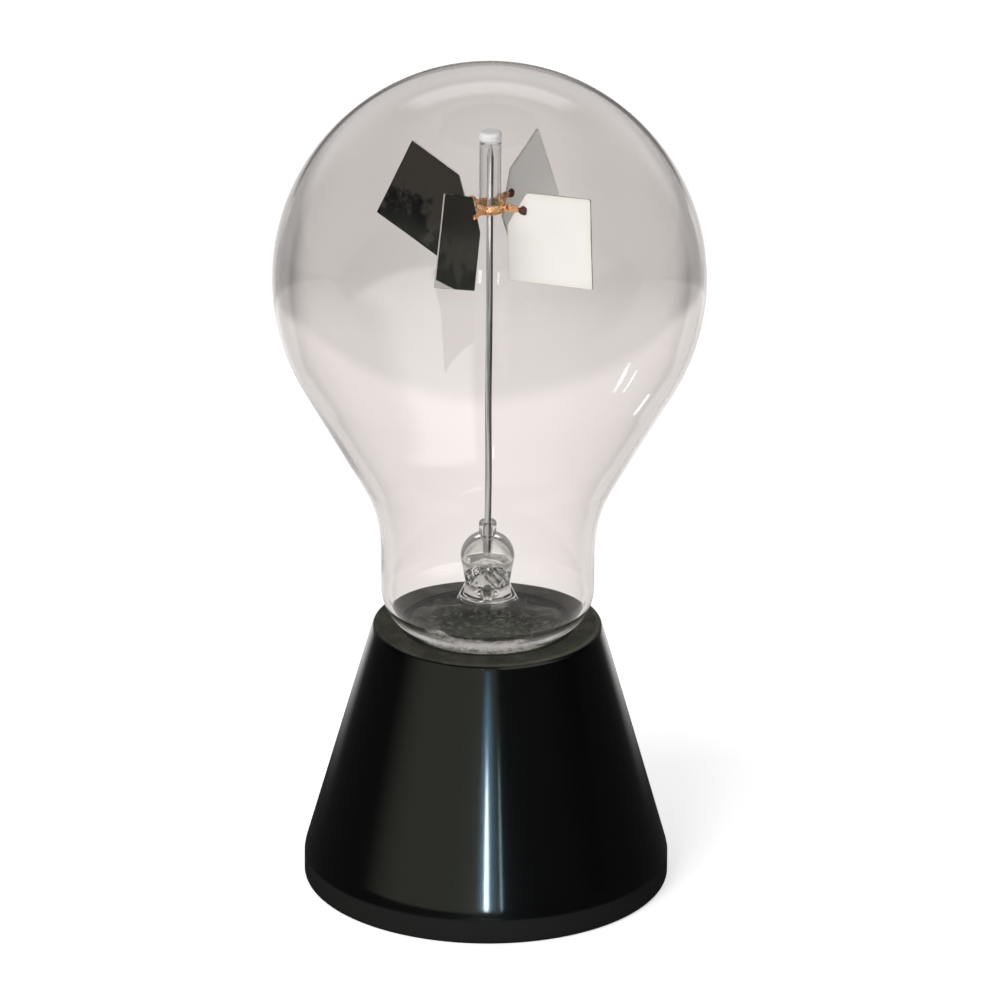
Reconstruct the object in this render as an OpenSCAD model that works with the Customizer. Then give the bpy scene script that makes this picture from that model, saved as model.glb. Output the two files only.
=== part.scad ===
// Crookes radiometer, a light mill in a blown glass bulb on a moulded conical base.
// Millimetres, +Z up. The origin is on the needle's axis, in the plane that the foot stands on.

/* [Bulb] */
// Outside diameter of the spherical part
bulb_d = 75; // [68:1:90]
// Thickness of the bulb's glass
glass_t = 0.9; // [0.6:0.1:1.4]
// Outside diameter of the straight neck
neck_d = 37.2; // [34:0.2:42]
// Height of the straight part of the neck
neck_h = 6.2; // [3:0.2:12]
// Angle of the bulb's taper from the vertical
taper_angle = 29.3; // [26:0.1:34]
// Radius of the waist between neck and taper
waist_r = 28.6; // [20:0.2:36]
// Radius of the rounded edge round the bulb's bottom
heel_r = 8; // [6:0.5:9]

/* [Base] */
// Height of the base
base_h = 47.4; // [38:0.2:60]
// Diameter of the foot
foot_d = 63.8; // [58:0.2:80]
// Height of the upright band round the foot
band_h = 4.8; // [2:0.2:8]
// Radius of the foot's bottom edge
foot_edge_r = 0.8; // [0.3:0.1:1.2]
// How far the rim reaches past the neck on each side
rim_margin = 1.3; // [0.8:0.1:4]
// Radius of the rim's outer edge
rim_edge_r = 0.9; // [0.4:0.1:1.2]
// Wall of the moulded cone, square to its face
wall_t = 2.2; // [1.6:0.1:3]
// Thickness of the plate under the seat
plate_t = 2.2; // [1.6:0.1:3.4]
// How deep the bulb's bottom lies under the rim
seat_depth = 1; // [0.6:0.1:2.4]
// Gap between the glass and the edge of the seat, at the rim
seat_gap = 0.4; // [0.2:0.1:0.8]
// Thickness of the cement under the bulb
cement_t = 1; // [0.5:0.1:2]
// Number of ribs under the plate
rib_count = 6; // [3:1:8]
// Thickness of a rib
rib_t = 1.5; // [1:0.1:2.4]
// Depth of a rib below the plate, at the wall
rib_h = 9; // [5:0.5:14]
// Length of a rib along the plate, from the wall inwards
rib_reach = 10; // [5:0.5:14]

/* [Stem] */
// Height of the flared skirt above the bulb's floor
skirt_h = 7.9; // [6:0.1:12]
// Outside diameter of the skirt's top
skirt_top_d = 7.8; // [7:0.1:8.6]
// Outside diameter of the skirt where it meets the floor
skirt_foot_d = 16.6; // [14.5:0.2:17]
// Share of the flare that is curved, the rest is straight
skirt_curve = 0.28; // [0:0.02:0.6]
// Wall of the skirt, measured level
skirt_t = 1; // [0.7:0.1:1.3]
// Thickness of the glass that closes the skirt's top
web_t = 0.8; // [0.5:0.1:1.4]
// Outside diameter of the hollow ball
ball_d = 9.5; // [9.2:0.1:12]
// Height of the ball's centre above the skirt's top
ball_rise = 5.2; // [5:0.1:7]
// Diameter of the ball's hollow
hollow_d = 8.4; // [7.6:0.1:8.8]
// How far the hollow lies below the ball's centre
hollow_drop = 1.4; // [1:0.1:1.6]
// Outside diameter of the exhaust tube
exhaust_d = 2.5; // [1.8:0.1:3]
// Bore of the exhaust tube
exhaust_bore = 1.2; // [0.6:0.1:1.4]
// Length of the exhaust tube down to its sealed tip
exhaust_len = 5.2; // [4:0.1:6.4]
// Length of the drawn tip, as part of that
exhaust_tip = 3.2; // [2.4:0.1:3.6]

/* [Needle] */
// Diameter of the needle
needle_d = 1.15; // [0.9:0.05:1.4]
// Length of the needle's point
point_len = 3.2; // [2:0.1:5]
// Depth of the glass socket that holds the needle, below the ball's top
socket_depth = 4.1; // [3.6:0.1:4.8]
// Glass round the needle inside the ball
socket_t = 0.4; // [0.3:0.05:0.6]
// Height of the glass collar on the ball
seal_h = 2; // [1.2:0.1:3]
// Outside diameter of that collar
seal_d = 3.1; // [2.7:0.1:3.6]

/* [Bearing cap] */
// Free space between the cap and the glass above it
top_gap = 9.75; // [5:0.05:11]
// Length of the glass cap
cap_len = 14.6; // [13:0.1:17]
// Outside diameter of the cap
cap_d = 3.85; // [3.4:0.05:4.6]
// Wall of the cap
cap_t = 0.45; // [0.3:0.05:0.6]
// Thickness of the cap's closed end
crown_t = 1.3; // [0.8:0.1:2]
// Radius of the closed end's outer edge
crown_edge_r = 0.6; // [0.3:0.05:0.8]
// Play between the needle's point and the cap
point_gap = 0.05; // [0.03:0.01:0.2]

/* [Hub and arms] */
// Height of the copper collar
collar_h = 1.7; // [1.4:0.1:2.4]
// Thickness of the copper collar
collar_t = 0.7; // [0.5:0.05:1]
// How far the collar's foot tapers in
collar_taper = 0.35; // [0.1:0.05:0.4]
// Height of the arms above the cap's open end
arm_rise = 1.4; // [1:0.05:1.5]
// Thickness of the arm's strip
arm_t = 0.4; // [0.3:0.05:0.5]
// Width of the strip at the collar
arm_w = 1.7; // [1.2:0.1:2]
// Outside diameter of the rolled eye
eye_d = 1.6; // [1.4:0.05:1.8]
// Hole through the eye
eye_bore = 0.7; // [0.5:0.05:0.8]
// Width of the rolled eye
eye_w = 0.9; // [0.7:0.05:1.2]
// Space between collar and eye
eye_gap = 0.2; // [0.1:0.05:0.4]
// Height of the clip that grips a vane
clip_h = 0.9; // [0.7:0.05:1.2]
// Thickness of each jaw of the clip
jaw_t = 0.25; // [0.2:0.05:0.35]
// How far the clip laps over the vane's cut corner
clip_lap = 1.2; // [1:0.1:1.5]
// Diameter of the bead of cement on each clip
bead_d = 1.5; // [1.2:0.1:1.8]

/* [Vanes] */
// Side of the square vane
vane_side = 16.2; // [12:0.1:18]
// Thickness of the vane
vane_t = 0.25; // [0.15:0.05:0.4]
// Thickness of the lampblack on one side
coat_t = 0.08; // [0.05:0.01:0.15]
// Cut at the held corner, along the side below it
cut_below = 6; // [4.5:0.1:7]
// Direction of the first arm, from +X
first_arm = -28.5; // [-180:0.5:180]

/* [Hidden] */
$fn = 96;

// The vanes were cut and hung by hand, so each of the four has its own small differences.
// How far each vane's diagonal hangs below level
vane_hang = [41, 18.5, 19, 24];
// How far each vane leans out of the upright
vane_lean = [3.3, 0.4, 0, -3.5];
// How far each arm points away from its even quarter
arm_swing = [0.9, -2.5, -1.5, 4.2];
// Distance from the axis to the middle of each bead
arm_reach = [6.5, 6.6, 6, 7.1];
// Cut at the held corner, along the side above it
cut_above = [4, 6, 5.7, 4.7];
// What each coat leaves bare of its vane's outer corner, up the side
bare_up = [0, 0, 0, 1.4];
// What each coat leaves bare of that corner, along the foot
bare_along = [0, 0, 0, 8];

// Glass and copper pieces that are fused or pressed together are drawn this far apart
fuse_gap = 0.02;
// Play between a vane and the jaws that grip it
grip_gap = 0.03;
// How far the cement stays below the rim
cement_low = 0.1;
// How far a cutting shape runs past the face that it opens
past = 1;

bulb_r = bulb_d / 2;
neck_r = neck_d / 2;
seat_z = base_h - seat_depth;
floor_z = seat_z + glass_t;
heel_x = neck_r - heel_r;
heel_z = seat_z + heel_r;
waist_z = heel_z + neck_h;
waist_top_r = neck_r + waist_r * (1 - cos(taper_angle));
waist_top_z = waist_z + waist_r * sin(taper_angle);
taper_len = (bulb_r * cos(taper_angle) - waist_top_r) / sin(taper_angle);
ball_z = waist_top_z + taper_len * cos(taper_angle) + bulb_r * sin(taper_angle);

foot_r = foot_d / 2;
rim_r = neck_r + rim_margin;
cone_slope = (foot_r - rim_r) / (base_h - band_h);
cone_angle = atan(cone_slope);
wall_level = wall_t / cos(cone_angle);
plate_z = seat_z - cement_t - plate_t;
seat_r = heel_x + sqrt(heel_r * heel_r - (heel_r - seat_depth) * (heel_r - seat_depth)) + seat_gap;

skirt_top_r = skirt_top_d / 2;
skirt_foot_r = skirt_foot_d / 2;
skirt_top_z = floor_z + skirt_h;
skirt_steps = 10;
stem_ball_r = ball_d / 2;
stem_ball_z = skirt_top_z + ball_rise;
hollow_r = hollow_d / 2;
seal_r = seal_d / 2;
seal_z = stem_ball_z + sqrt(stem_ball_r * stem_ball_r - seal_r * seal_r);
needle_r = needle_d / 2;
socket_bore_r = needle_r + fuse_gap;
socket_r = socket_bore_r + socket_t;
socket_z = seal_z - socket_depth;
needle_z = socket_z + socket_t;

cap_top_z = ball_z + bulb_r - glass_t - top_gap;
cap_z = cap_top_z - cap_len;
cap_r = cap_d / 2;
cap_bore_r = cap_r - cap_t;
point_z = cap_top_z - crown_t - point_gap;
point_r = 0.08;
collar_lift = 0.1;
collar_bore_r = cap_r + fuse_gap;
collar_r = collar_bore_r + collar_t;
arm_z = cap_z + arm_rise;
eye_x = collar_r + eye_gap + eye_d / 2;
slot_w = vane_t + coat_t + 2 * grip_gap;
slot_y = -vane_t / 2 - grip_gap;
clip_w = slot_w + 2 * jaw_t;
clip_y = slot_y - jaw_t;
clip_end = 0.4;

// Radius of the base's cone at a height, without its rounded edges
function cone_r(z) = foot_r - cone_slope * max(z - band_h, 0);
// Outside radius of the stem's skirt at a share of its height, counted from the top
function skirt_r(share) =
    skirt_top_r + (skirt_foot_r - skirt_top_r) * ((1 - skirt_curve) * share + skirt_curve * share * share);

// Half section of the bulb's outside, or of a surface that lies inside it by a distance
module bulb_section(inside = 0) {
    sphere_r = bulb_r - inside;
    round_r = heel_r - inside;
    intersection() {
        square([2 * bulb_r, 3 * bulb_d]);
        union() {
            translate([0, ball_z]) circle(r = sphere_r);
            difference() {
                polygon([
                    [0, seat_z + inside],
                    [heel_x, seat_z + inside],
                    [neck_r - inside, heel_z],
                    [neck_r - inside, waist_z],
                    [waist_top_r - inside * cos(taper_angle), waist_top_z + inside * sin(taper_angle)],
                    [sphere_r * cos(taper_angle), ball_z - sphere_r * sin(taper_angle)],
                    [0, ball_z],
                ]);
                translate([neck_r + waist_r, waist_z]) circle(r = waist_r + inside);
            }
            translate([heel_x, heel_z]) circle(r = round_r);
        }
    }
}

// Half section of the base's outside, with its two rounded edges
module base_section() {
    edge_z = base_h - rim_edge_r;
    edge_x = cone_r(edge_z) - rim_edge_r / cos(cone_angle);
    polygon([
        [0, 0],
        [foot_r - foot_edge_r, 0],
        [foot_r, foot_edge_r],
        [foot_r, band_h],
        [edge_x + rim_edge_r * cos(cone_angle), edge_z + rim_edge_r * sin(cone_angle)],
        [edge_x, base_h],
        [0, base_h],
    ]);
    translate([edge_x, edge_z]) circle(r = rim_edge_r);
    translate([foot_r - foot_edge_r, foot_edge_r]) circle(r = foot_edge_r);
}

// Half section of the space under the base
module hollow_section() {
    polygon([
        [0, -past],
        [foot_r - wall_level, -past],
        [foot_r - wall_level, band_h],
        [cone_r(plate_z) - wall_level, plate_z],
        [0, plate_z],
    ]);
}

// One rib, from the wall inwards under the plate
module rib() {
    wall_x = cone_r(plate_z) - wall_level;
    rotate([90, 0, 0]) linear_extrude(rib_t, center = true) polygon([
        [wall_x - rib_reach, plate_z + plate_t / 2],
        [wall_x - rib_reach, plate_z],
        [cone_r(plate_z - rib_h) - wall_level, plate_z - rib_h],
        [cone_r(plate_z - rib_h) - wall_level / 2, plate_z - rib_h],
        [wall_x + wall_level / 2, plate_z + plate_t / 2],
    ]);
}

module base_shell() color("#15181a") {
    difference() {
        rotate_extrude() difference() {
            base_section();
            hollow_section();
        }
        translate([0, 0, seat_z - cement_t]) cylinder(r = seat_r, h = cement_t + seat_depth + past);
    }
    for (i = [0 : rib_count - 1]) rotate([0, 0, 360 * i / rib_count]) rib();
}

// Cement that fills the seat under the bulb, left open under the stem
module seat_cement() color("#2b2c28") rotate_extrude() difference() {
    translate([skirt_foot_r, seat_z - cement_t])
        square([seat_r - fuse_gap - skirt_foot_r, cement_t + seat_depth - cement_low]);
    bulb_section(-fuse_gap);
}

module glass_bulb() color("#dfe3e0", 0.3) rotate_extrude() difference() {
    bulb_section();
    bulb_section(glass_t);
    translate([0, seat_z - past]) square([skirt_foot_r - skirt_t, glass_t + 2 * past]);
}

// Flared tube that stands on the bulb's floor, closed at its top round the exhaust tube
module stem_skirt() color("#d5dad5", 0.4) rotate_extrude() {
    shares = [for (i = [0 : skirt_steps]) i / skirt_steps];
    inner_h = skirt_h - web_t;
    polygon(concat(
        [[exhaust_d / 2 + fuse_gap, skirt_top_z]],
        [for (s = shares) [skirt_r(s), skirt_top_z - skirt_h * s]],
        [for (i = [skirt_steps : -1 : 0]) let (s = (web_t + inner_h * shares[i]) / skirt_h)
            [skirt_r(s) - skirt_t, skirt_top_z - skirt_h * s]],
        [[exhaust_d / 2 + fuse_gap, skirt_top_z - web_t]]
    ));
}

// Blown ball: a sphere that runs down into a neck as wide as the skirt's top
module stem_ball() color("#d5dad5", 0.4) rotate_extrude() {
    neck_dist = sqrt(skirt_top_r * skirt_top_r + ball_rise * ball_rise);
    tangent = acos(stem_ball_r / neck_dist) - atan(ball_rise / skirt_top_r);
    intersection() {
        translate([socket_r + fuse_gap, skirt_top_z]) square([stem_ball_r, seal_z - skirt_top_z]);
        difference() {
            union() {
                translate([0, stem_ball_z]) circle(r = stem_ball_r);
                polygon([
                    [0, skirt_top_z],
                    [skirt_top_r, skirt_top_z],
                    [stem_ball_r * cos(tangent), stem_ball_z + stem_ball_r * sin(tangent)],
                    [0, stem_ball_z],
                ]);
            }
            translate([0, stem_ball_z - hollow_drop]) circle(r = hollow_r);
            translate([0, skirt_top_z - past]) square([exhaust_d / 2, ball_rise]);
        }
    }
}

// Tube through which the bulb was emptied, drawn to a tip and sealed inside the skirt
module exhaust_tube() color("#d5dad5", 0.4) rotate_extrude() {
    outer_r = exhaust_d / 2;
    tip_r = 0.3;
    tip_z = skirt_top_z - exhaust_len;
    draw_z = tip_z + exhaust_tip;
    intersection() {
        translate([0, tip_z]) square([outer_r, exhaust_len]);
        difference() {
            union() {
                polygon([
                    [0, tip_z + tip_r],
                    [tip_r, tip_z + tip_r],
                    [outer_r, draw_z],
                    [outer_r, skirt_top_z],
                    [0, skirt_top_z],
                ]);
                translate([0, tip_z + tip_r]) circle(r = tip_r);
            }
            polygon([
                [0, draw_z - exhaust_tip / 2],
                [exhaust_bore / 2, draw_z],
                [exhaust_bore / 2, skirt_top_z + past],
                [0, skirt_top_z + past],
            ]);
        }
    }
}

// Glass socket fused round the needle's lower end, with a rolled collar on the ball
module needle_seal() color("#d5dad5", 0.4) rotate_extrude() {
    roll_r = (seal_r - socket_bore_r) / 2;
    difference() {
        union() {
            translate([0, seal_z]) square([seal_r, seal_h - roll_r]);
            translate([seal_r - roll_r, seal_z + seal_h - roll_r]) circle(r = roll_r);
            translate([0, socket_z + socket_r]) square([socket_r, seal_z - socket_z - socket_r]);
            intersection() {
                translate([0, socket_z + socket_r]) circle(r = socket_r);
                translate([0, socket_z]) square(2 * socket_r);
            }
        }
        translate([0, needle_z]) square([socket_bore_r, seal_z + seal_h]);
    }
}

module needle() color("#8d8d8f") rotate_extrude() polygon([
    [0, needle_z],
    [needle_r, needle_z],
    [needle_r, point_z - point_len],
    [point_r, point_z],
    [0, point_z],
]);

// Closed glass tube that rides on the needle's point
module bearing_cap() color("#e6e9e6", 0.4) rotate_extrude() {
    bore_top = cap_top_z - crown_t - cap_bore_r;
    difference() {
        union() {
            translate([0, cap_z]) square([cap_r, cap_len - crown_edge_r]);
            translate([0, cap_z]) square([cap_r - crown_edge_r, cap_len]);
            translate([cap_r - crown_edge_r, cap_top_z - crown_edge_r]) circle(r = crown_edge_r);
        }
        translate([-cap_r, cap_z - past]) square([cap_r + cap_bore_r, bore_top - cap_z + past]);
        intersection() {
            translate([0, bore_top]) circle(r = cap_bore_r);
            translate([0, bore_top - past]) square([cap_r, cap_bore_r + 2 * past]);
        }
    }
}

module hub_collar() color("#c98a5e") rotate_extrude() {
    low = cap_z + collar_lift;
    polygon([
        [collar_bore_r, low],
        [collar_r - collar_taper, low],
        [collar_r, low + collar_h / 3],
        [collar_r, low + collar_h],
        [collar_bore_r, low + collar_h],
    ]);
}

// Puts what is drawn about an arm's own line, +X outwards, in its place on the rotor
module at_arm(i) {
    rotate([0, 0, first_arm + 90 * i + arm_swing[i]])
        translate([0, 0, arm_z])
        rotate([-vane_lean[i], 0, 0])
        children();
}

// Copper strip with a rolled eye, ending in a clip that grips the vane's cut corner
module arm(i) color("#c98a5e") at_arm(i) difference() {
    slot_x = arm_reach[i] - clip_lap - 2 * jaw_t;
    union() {
        linear_extrude(arm_t, center = true) polygon([
            [collar_r / 2, -arm_w / 2],
            [eye_x, -eye_w / 2],
            [eye_x, eye_w / 2],
            [collar_r / 2, arm_w / 2],
        ]);
        translate([eye_x, 0, 0]) rotate([90, 0, 0]) cylinder(d = eye_d, h = eye_w, center = true);
        translate([eye_x, clip_y, -clip_h / 2]) cube([arm_reach[i] + clip_end - eye_x, clip_w, clip_h]);
    }
    cylinder(r = collar_r + fuse_gap, h = 2 * collar_h, center = true);
    translate([eye_x, 0, 0]) rotate([90, 0, 0]) cylinder(d = eye_bore, h = 2 * eye_w, center = true);
    translate([slot_x, slot_y, -clip_h]) cube([arm_reach[i], slot_w, 2 * clip_h]);
}

// Outline of a vane about the point where it is held, its diagonal turned down by the hang.
// With a bare corner it is the outline of the coat.
module vane_outline(i, bare = false) {
    above = cut_above[i];
    half = vane_side / sqrt(2);
    corner_x = -clip_lap - sqrt(2) * above * cut_below / (above + cut_below);
    outer = bare && bare_up[i] > 0
        ? [[2 * half - bare_up[i] / sqrt(2), bare_up[i] / sqrt(2)],
           [2 * half - bare_along[i] / sqrt(2), -bare_along[i] / sqrt(2)]]
        : [[2 * half, 0]];
    rotate(-vane_hang[i]) translate([corner_x, 0]) polygon(concat(
        [[above / sqrt(2), above / sqrt(2)], [half, half]],
        outer,
        [[half, -half], [cut_below / sqrt(2), -cut_below / sqrt(2)]]
    ));
}

module vane(i) color("#ece9e2") at_arm(i)
    translate([arm_reach[i], 0, 0]) rotate([90, 0, 0])
    linear_extrude(vane_t, center = true) vane_outline(i);

module lampblack(i) color("#1d1c1b") at_arm(i)
    translate([arm_reach[i], vane_t / 2 + coat_t, 0]) rotate([90, 0, 0])
    linear_extrude(coat_t) vane_outline(i, bare = true);

// Bead of cement over the end of the clip's jaw, on the vane's white side
module cement(i) color("#4b2a24") at_arm(i) difference() {
    translate([arm_reach[i], -vane_t / 2, 0]) sphere(d = bead_d);
    translate([arm_reach[i] - bead_d, -vane_t / 2 - fuse_gap, -bead_d]) cube(2 * bead_d);
    translate([0, clip_y - fuse_gap, -clip_h / 2 - fuse_gap])
        cube([arm_reach[i] + clip_end + fuse_gap, clip_w, clip_h + 2 * fuse_gap]);
}

base_shell();
seat_cement();
glass_bulb();
stem_skirt();
stem_ball();
exhaust_tube();
needle_seal();
needle();
bearing_cap();
hub_collar();
arm(0);  // arm_1
arm(1);  // arm_2
arm(2);  // arm_3
arm(3);  // arm_4
cement(0);  // cement_1
cement(1);  // cement_2
cement(2);  // cement_3
cement(3);  // cement_4
vane(0);  // vane_1
vane(1);  // vane_2
vane(2);  // vane_3
vane(3);  // vane_4
lampblack(0);  // lampblack_1
lampblack(1);  // lampblack_2
lampblack(2);  // lampblack_3
lampblack(3);  // lampblack_4
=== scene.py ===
"""Looks of a Crookes radiometer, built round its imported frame.

Metres and Z up in the scene. The half sections below are in millimetres, as (distance from the axis, height).
"""

import math

import bmesh
import bpy
import numpy as np
from mathutils import Matrix, Vector


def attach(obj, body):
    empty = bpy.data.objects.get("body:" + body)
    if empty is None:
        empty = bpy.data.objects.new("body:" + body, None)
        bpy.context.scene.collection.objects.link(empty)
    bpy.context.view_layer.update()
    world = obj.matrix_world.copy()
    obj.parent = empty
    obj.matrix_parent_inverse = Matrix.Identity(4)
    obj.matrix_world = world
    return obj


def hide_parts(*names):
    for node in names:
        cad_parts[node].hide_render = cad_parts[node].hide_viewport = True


bl_info = {
    "name": "Crookes radiometer",
    "version": (1, 0, 0),
    "blender": (4, 5, 0),
    "location": "View3D > Sidebar > Radiometer",
    "description": "Glass, steel, copper and moulded black base of a Crookes radiometer",
    "category": "Add Mesh",
}

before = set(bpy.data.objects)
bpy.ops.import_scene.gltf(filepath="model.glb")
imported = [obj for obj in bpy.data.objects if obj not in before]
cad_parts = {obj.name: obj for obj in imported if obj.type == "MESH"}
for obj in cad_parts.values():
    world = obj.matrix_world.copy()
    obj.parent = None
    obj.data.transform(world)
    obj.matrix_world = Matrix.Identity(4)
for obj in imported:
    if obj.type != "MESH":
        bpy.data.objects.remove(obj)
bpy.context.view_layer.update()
MM = 0.001
AXIS_R = 1e-9

# Points round each turned piece
BULB_ROUND = 224
BASE_ROUND = 192
BALL_ROUND = 128
HUB_ROUND = 96
TUBE_ROUND = 64
NEEDLE_ROUND = 40

# Sizes of the bulb, as in the part's source
BULB_R = 37.5
GLASS_T = 0.9
NECK_R = 18.6
HEEL_R = 8.0
NECK_H = 6.2
WAIST_R = 28.6
TAPER = 29.3
BASE_H = 47.4
SEAT_Z = 46.4
FLOOR_Z = SEAT_Z + GLASS_T
HEEL_X = NECK_R - HEEL_R
HEEL_Z = SEAT_Z + HEEL_R
WAIST_Z = HEEL_Z + NECK_H
WAIST_TOP_R = NECK_R + WAIST_R * (1 - math.cos(math.radians(TAPER)))
WAIST_TOP_Z = WAIST_Z + WAIST_R * math.sin(math.radians(TAPER))
TAPER_LEN = (BULB_R * math.cos(math.radians(TAPER)) - WAIST_TOP_R) / math.sin(math.radians(TAPER))
BALL_Z = WAIST_TOP_Z + TAPER_LEN * math.cos(math.radians(TAPER)) + BULB_R * math.sin(math.radians(TAPER))

# Sizes of the base
FOOT_R = 31.9
BAND_H = 4.8
FOOT_EDGE_R = 0.8
RIM_R = 19.9
RIM_EDGE_R = 0.9
WALL_T = 2.2
PLATE_Z = 43.2
SEAT_FLOOR_Z = 45.4
SEAT_R = HEEL_X + math.sqrt(HEEL_R**2 - (HEEL_R - 1) ** 2) + 0.4
CONE_SLOPE = (FOOT_R - RIM_R) / (BASE_H - BAND_H)
CONE_ANGLE = math.degrees(math.atan(CONE_SLOPE))
WALL_LEVEL = WALL_T / math.cos(math.radians(CONE_ANGLE))
RIBS = 6

# Sizes of the stem, needle and cap
SKIRT_FOOT_R = 8.3
SKIRT_TOP_R = 3.9
SKIRT_H = 7.9
SKIRT_CURVE = 0.28
SKIRT_T = 1.0
PLUG_T = 2.5
SKIRT_TOP_Z = FLOOR_Z + SKIRT_H
STEM_BALL_R = 4.75
STEM_BALL_Z = SKIRT_TOP_Z + 5.2
HOLLOW_R = 4.15
HOLLOW_Z = STEM_BALL_Z - 0.75
HOLLOW_FLOOR_Z = STEM_BALL_Z - 0.3
EXHAUST_R = 1.25
EXHAUST_BORE_R = 0.6
TIP_Z = SKIRT_TOP_Z - 5.2
DRAW_Z = TIP_Z + 3.2
SEAL_R = 1.55
SEAL_H = 2.0
SEAL_Z = STEM_BALL_Z + math.sqrt(STEM_BALL_R**2 - SEAL_R**2)
NEEDLE_R = 0.575
SOCKET_BORE_R = NEEDLE_R + 0.02
SOCKET_R = SOCKET_BORE_R + 0.4
SOCKET_Z = SEAL_Z - 4.1
NEEDLE_Z = SOCKET_Z + 0.4
CAP_TOP_Z = BALL_Z + BULB_R - GLASS_T - 9.75
CAP_Z = CAP_TOP_Z - 14.6
CAP_R = 1.925
CAP_BORE_R = 1.6
CROWN_T = 1.3
TIP_CLOUDED = 1.8
POINT_Z = CAP_TOP_Z - CROWN_T - 0.05

# Sizes of the hub, arms and vanes, with the small differences of each
COLLAR_BORE_R = CAP_R + 0.02
COLLAR_R = COLLAR_BORE_R + 0.7
ARM_Z = CAP_Z + 1.4
EYE_R = 0.8
EYE_BORE_R = 0.35
EYE_X = COLLAR_R + 0.2 + EYE_R
ARM_W = 1.7
EYE_W = 0.9
ARM_T = 0.4
VANE_T = 0.25
COAT_T = 0.08
JAW_T = 0.25
GRIP_GAP = 0.03
CLIP_H = 0.9
CLIP_LAP = 1.2
BEAD_R = 0.75
VANE_SIDE = 16.2
CUT_BELOW = 6.0
FIRST_ARM = -28.5
OUTLINE_POINTS = 320
SHEET_WAVER = 0.06
SOOT_WAVER = 0.08
SHEET_SEED = 10
SOOT_SEED = 30
BEAD_SEED = 40
CORNER_R = [0.9, 0.4, 0.4, 0.35]
BOW = [0.05, -0.04, 0.07, -0.06]
SHEET_ROWS = 14
VANES = [
    {"hang": 41.0, "lean": 3.3, "swing": 0.9, "reach": 6.5, "above": 4.0, "bare": None},
    {"hang": 18.5, "lean": 0.4, "swing": -2.5, "reach": 6.6, "above": 6.0, "bare": None},
    {"hang": 19.0, "lean": 0.0, "swing": -1.5, "reach": 6.0, "above": 5.7, "bare": None},
    {"hang": 24.0, "lean": -3.5, "swing": 4.2, "reach": 7.1, "above": 4.7, "bare": (1.4, 8.0)},
]


# Half sections


def arc(centre, radius, start, end, steps):
    """Points on a circle, from one angle to another in degrees: centre + radius (cos a, sin a).

    A point that comes out next to the axis is put on it.
    """
    a = np.radians(np.linspace(start, end, steps))
    points = np.stack([centre[0] + radius * np.cos(a), centre[1] + radius * np.sin(a)], 1)
    points[np.abs(points[:, 0]) < AXIS_R, 0] = 0
    return points


def even(points, step):
    """The same line with points an even step apart, worked out along its length."""
    points = np.asarray(points, float)
    along = np.concatenate([[0], np.cumsum(np.linalg.norm(np.diff(points, axis=0), axis=1))])
    wanted = np.linspace(0, along[-1], max(int(round(along[-1] / step)), 2) + 1)
    return np.stack([np.interp(wanted, along, points[:, k]) for k in range(points.shape[1])], 1)


def bulb_side(inside):
    """The bulb's wall from its floor's edge to its top, at a depth below its outer face.

    Heel arc, straight neck, waist arc, taper at TAPER degrees and sphere, each tangent to the next.
    """
    heel = arc((HEEL_X, HEEL_Z), HEEL_R - inside, -90, 0, 60)
    waist = arc((NECK_R + WAIST_R, WAIST_Z), WAIST_R + inside, 180, 180 - TAPER, 80)
    dome = arc((0, BALL_Z), BULB_R - inside, -TAPER, 90, 400)
    return np.concatenate([heel, waist, dome])


def cone_r(z):
    """Radius of the base's cone at a height."""
    return FOOT_R - CONE_SLOPE * max(z - BAND_H, 0)


def skirt_r(share):
    """Outside radius of the stem's skirt: straight and square parts of the share of its height."""
    return SKIRT_TOP_R + (SKIRT_FOOT_R - SKIRT_TOP_R) * ((1 - SKIRT_CURVE) * share + SKIRT_CURVE * share**2)


# Surfaces and meshes


def grid_faces(rows, cols, closed_rows=False, closed_cols=False):
    """Four-sided faces between the points of a grid, numbered row by row. Either way may close on itself."""
    row = np.arange(rows if closed_rows else rows - 1)
    col = np.arange(cols if closed_cols else cols - 1)
    i, j = np.meshgrid(row, col, indexing="ij")
    above = (i + 1) % rows
    right = (j + 1) % cols
    corners = [i * cols + j, i * cols + right, above * cols + right, above * cols + j]
    return np.stack(corners, -1).reshape(-1, 4)


def revolved(profile, steps, ripple=None, lift=None):
    """Turns a half section about the axis: row i, column j is (r cos t, r sin t, z).

    A section drawn anticlockwise gives faces that point out of the solid. ripple(r, z, t) adds to r and
    lift(r, z, t) to z.
    """
    turn = np.arange(steps) * 2 * np.pi / steps
    r = np.repeat(profile[:, :1], steps, 1)
    z = np.repeat(profile[:, 1:2], steps, 1)
    t = np.repeat(turn[None], len(profile), 0)
    if lift is not None:
        z = z + np.where(r > AXIS_R, lift(r, z, t), 0)
    if ripple is not None:
        r = np.where(r > AXIS_R, r + ripple(r, z, t), r)
    points = np.stack([r * np.cos(t), r * np.sin(t), z], -1).reshape(-1, 3)
    return points, grid_faces(len(profile), steps, closed_cols=True)


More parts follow.
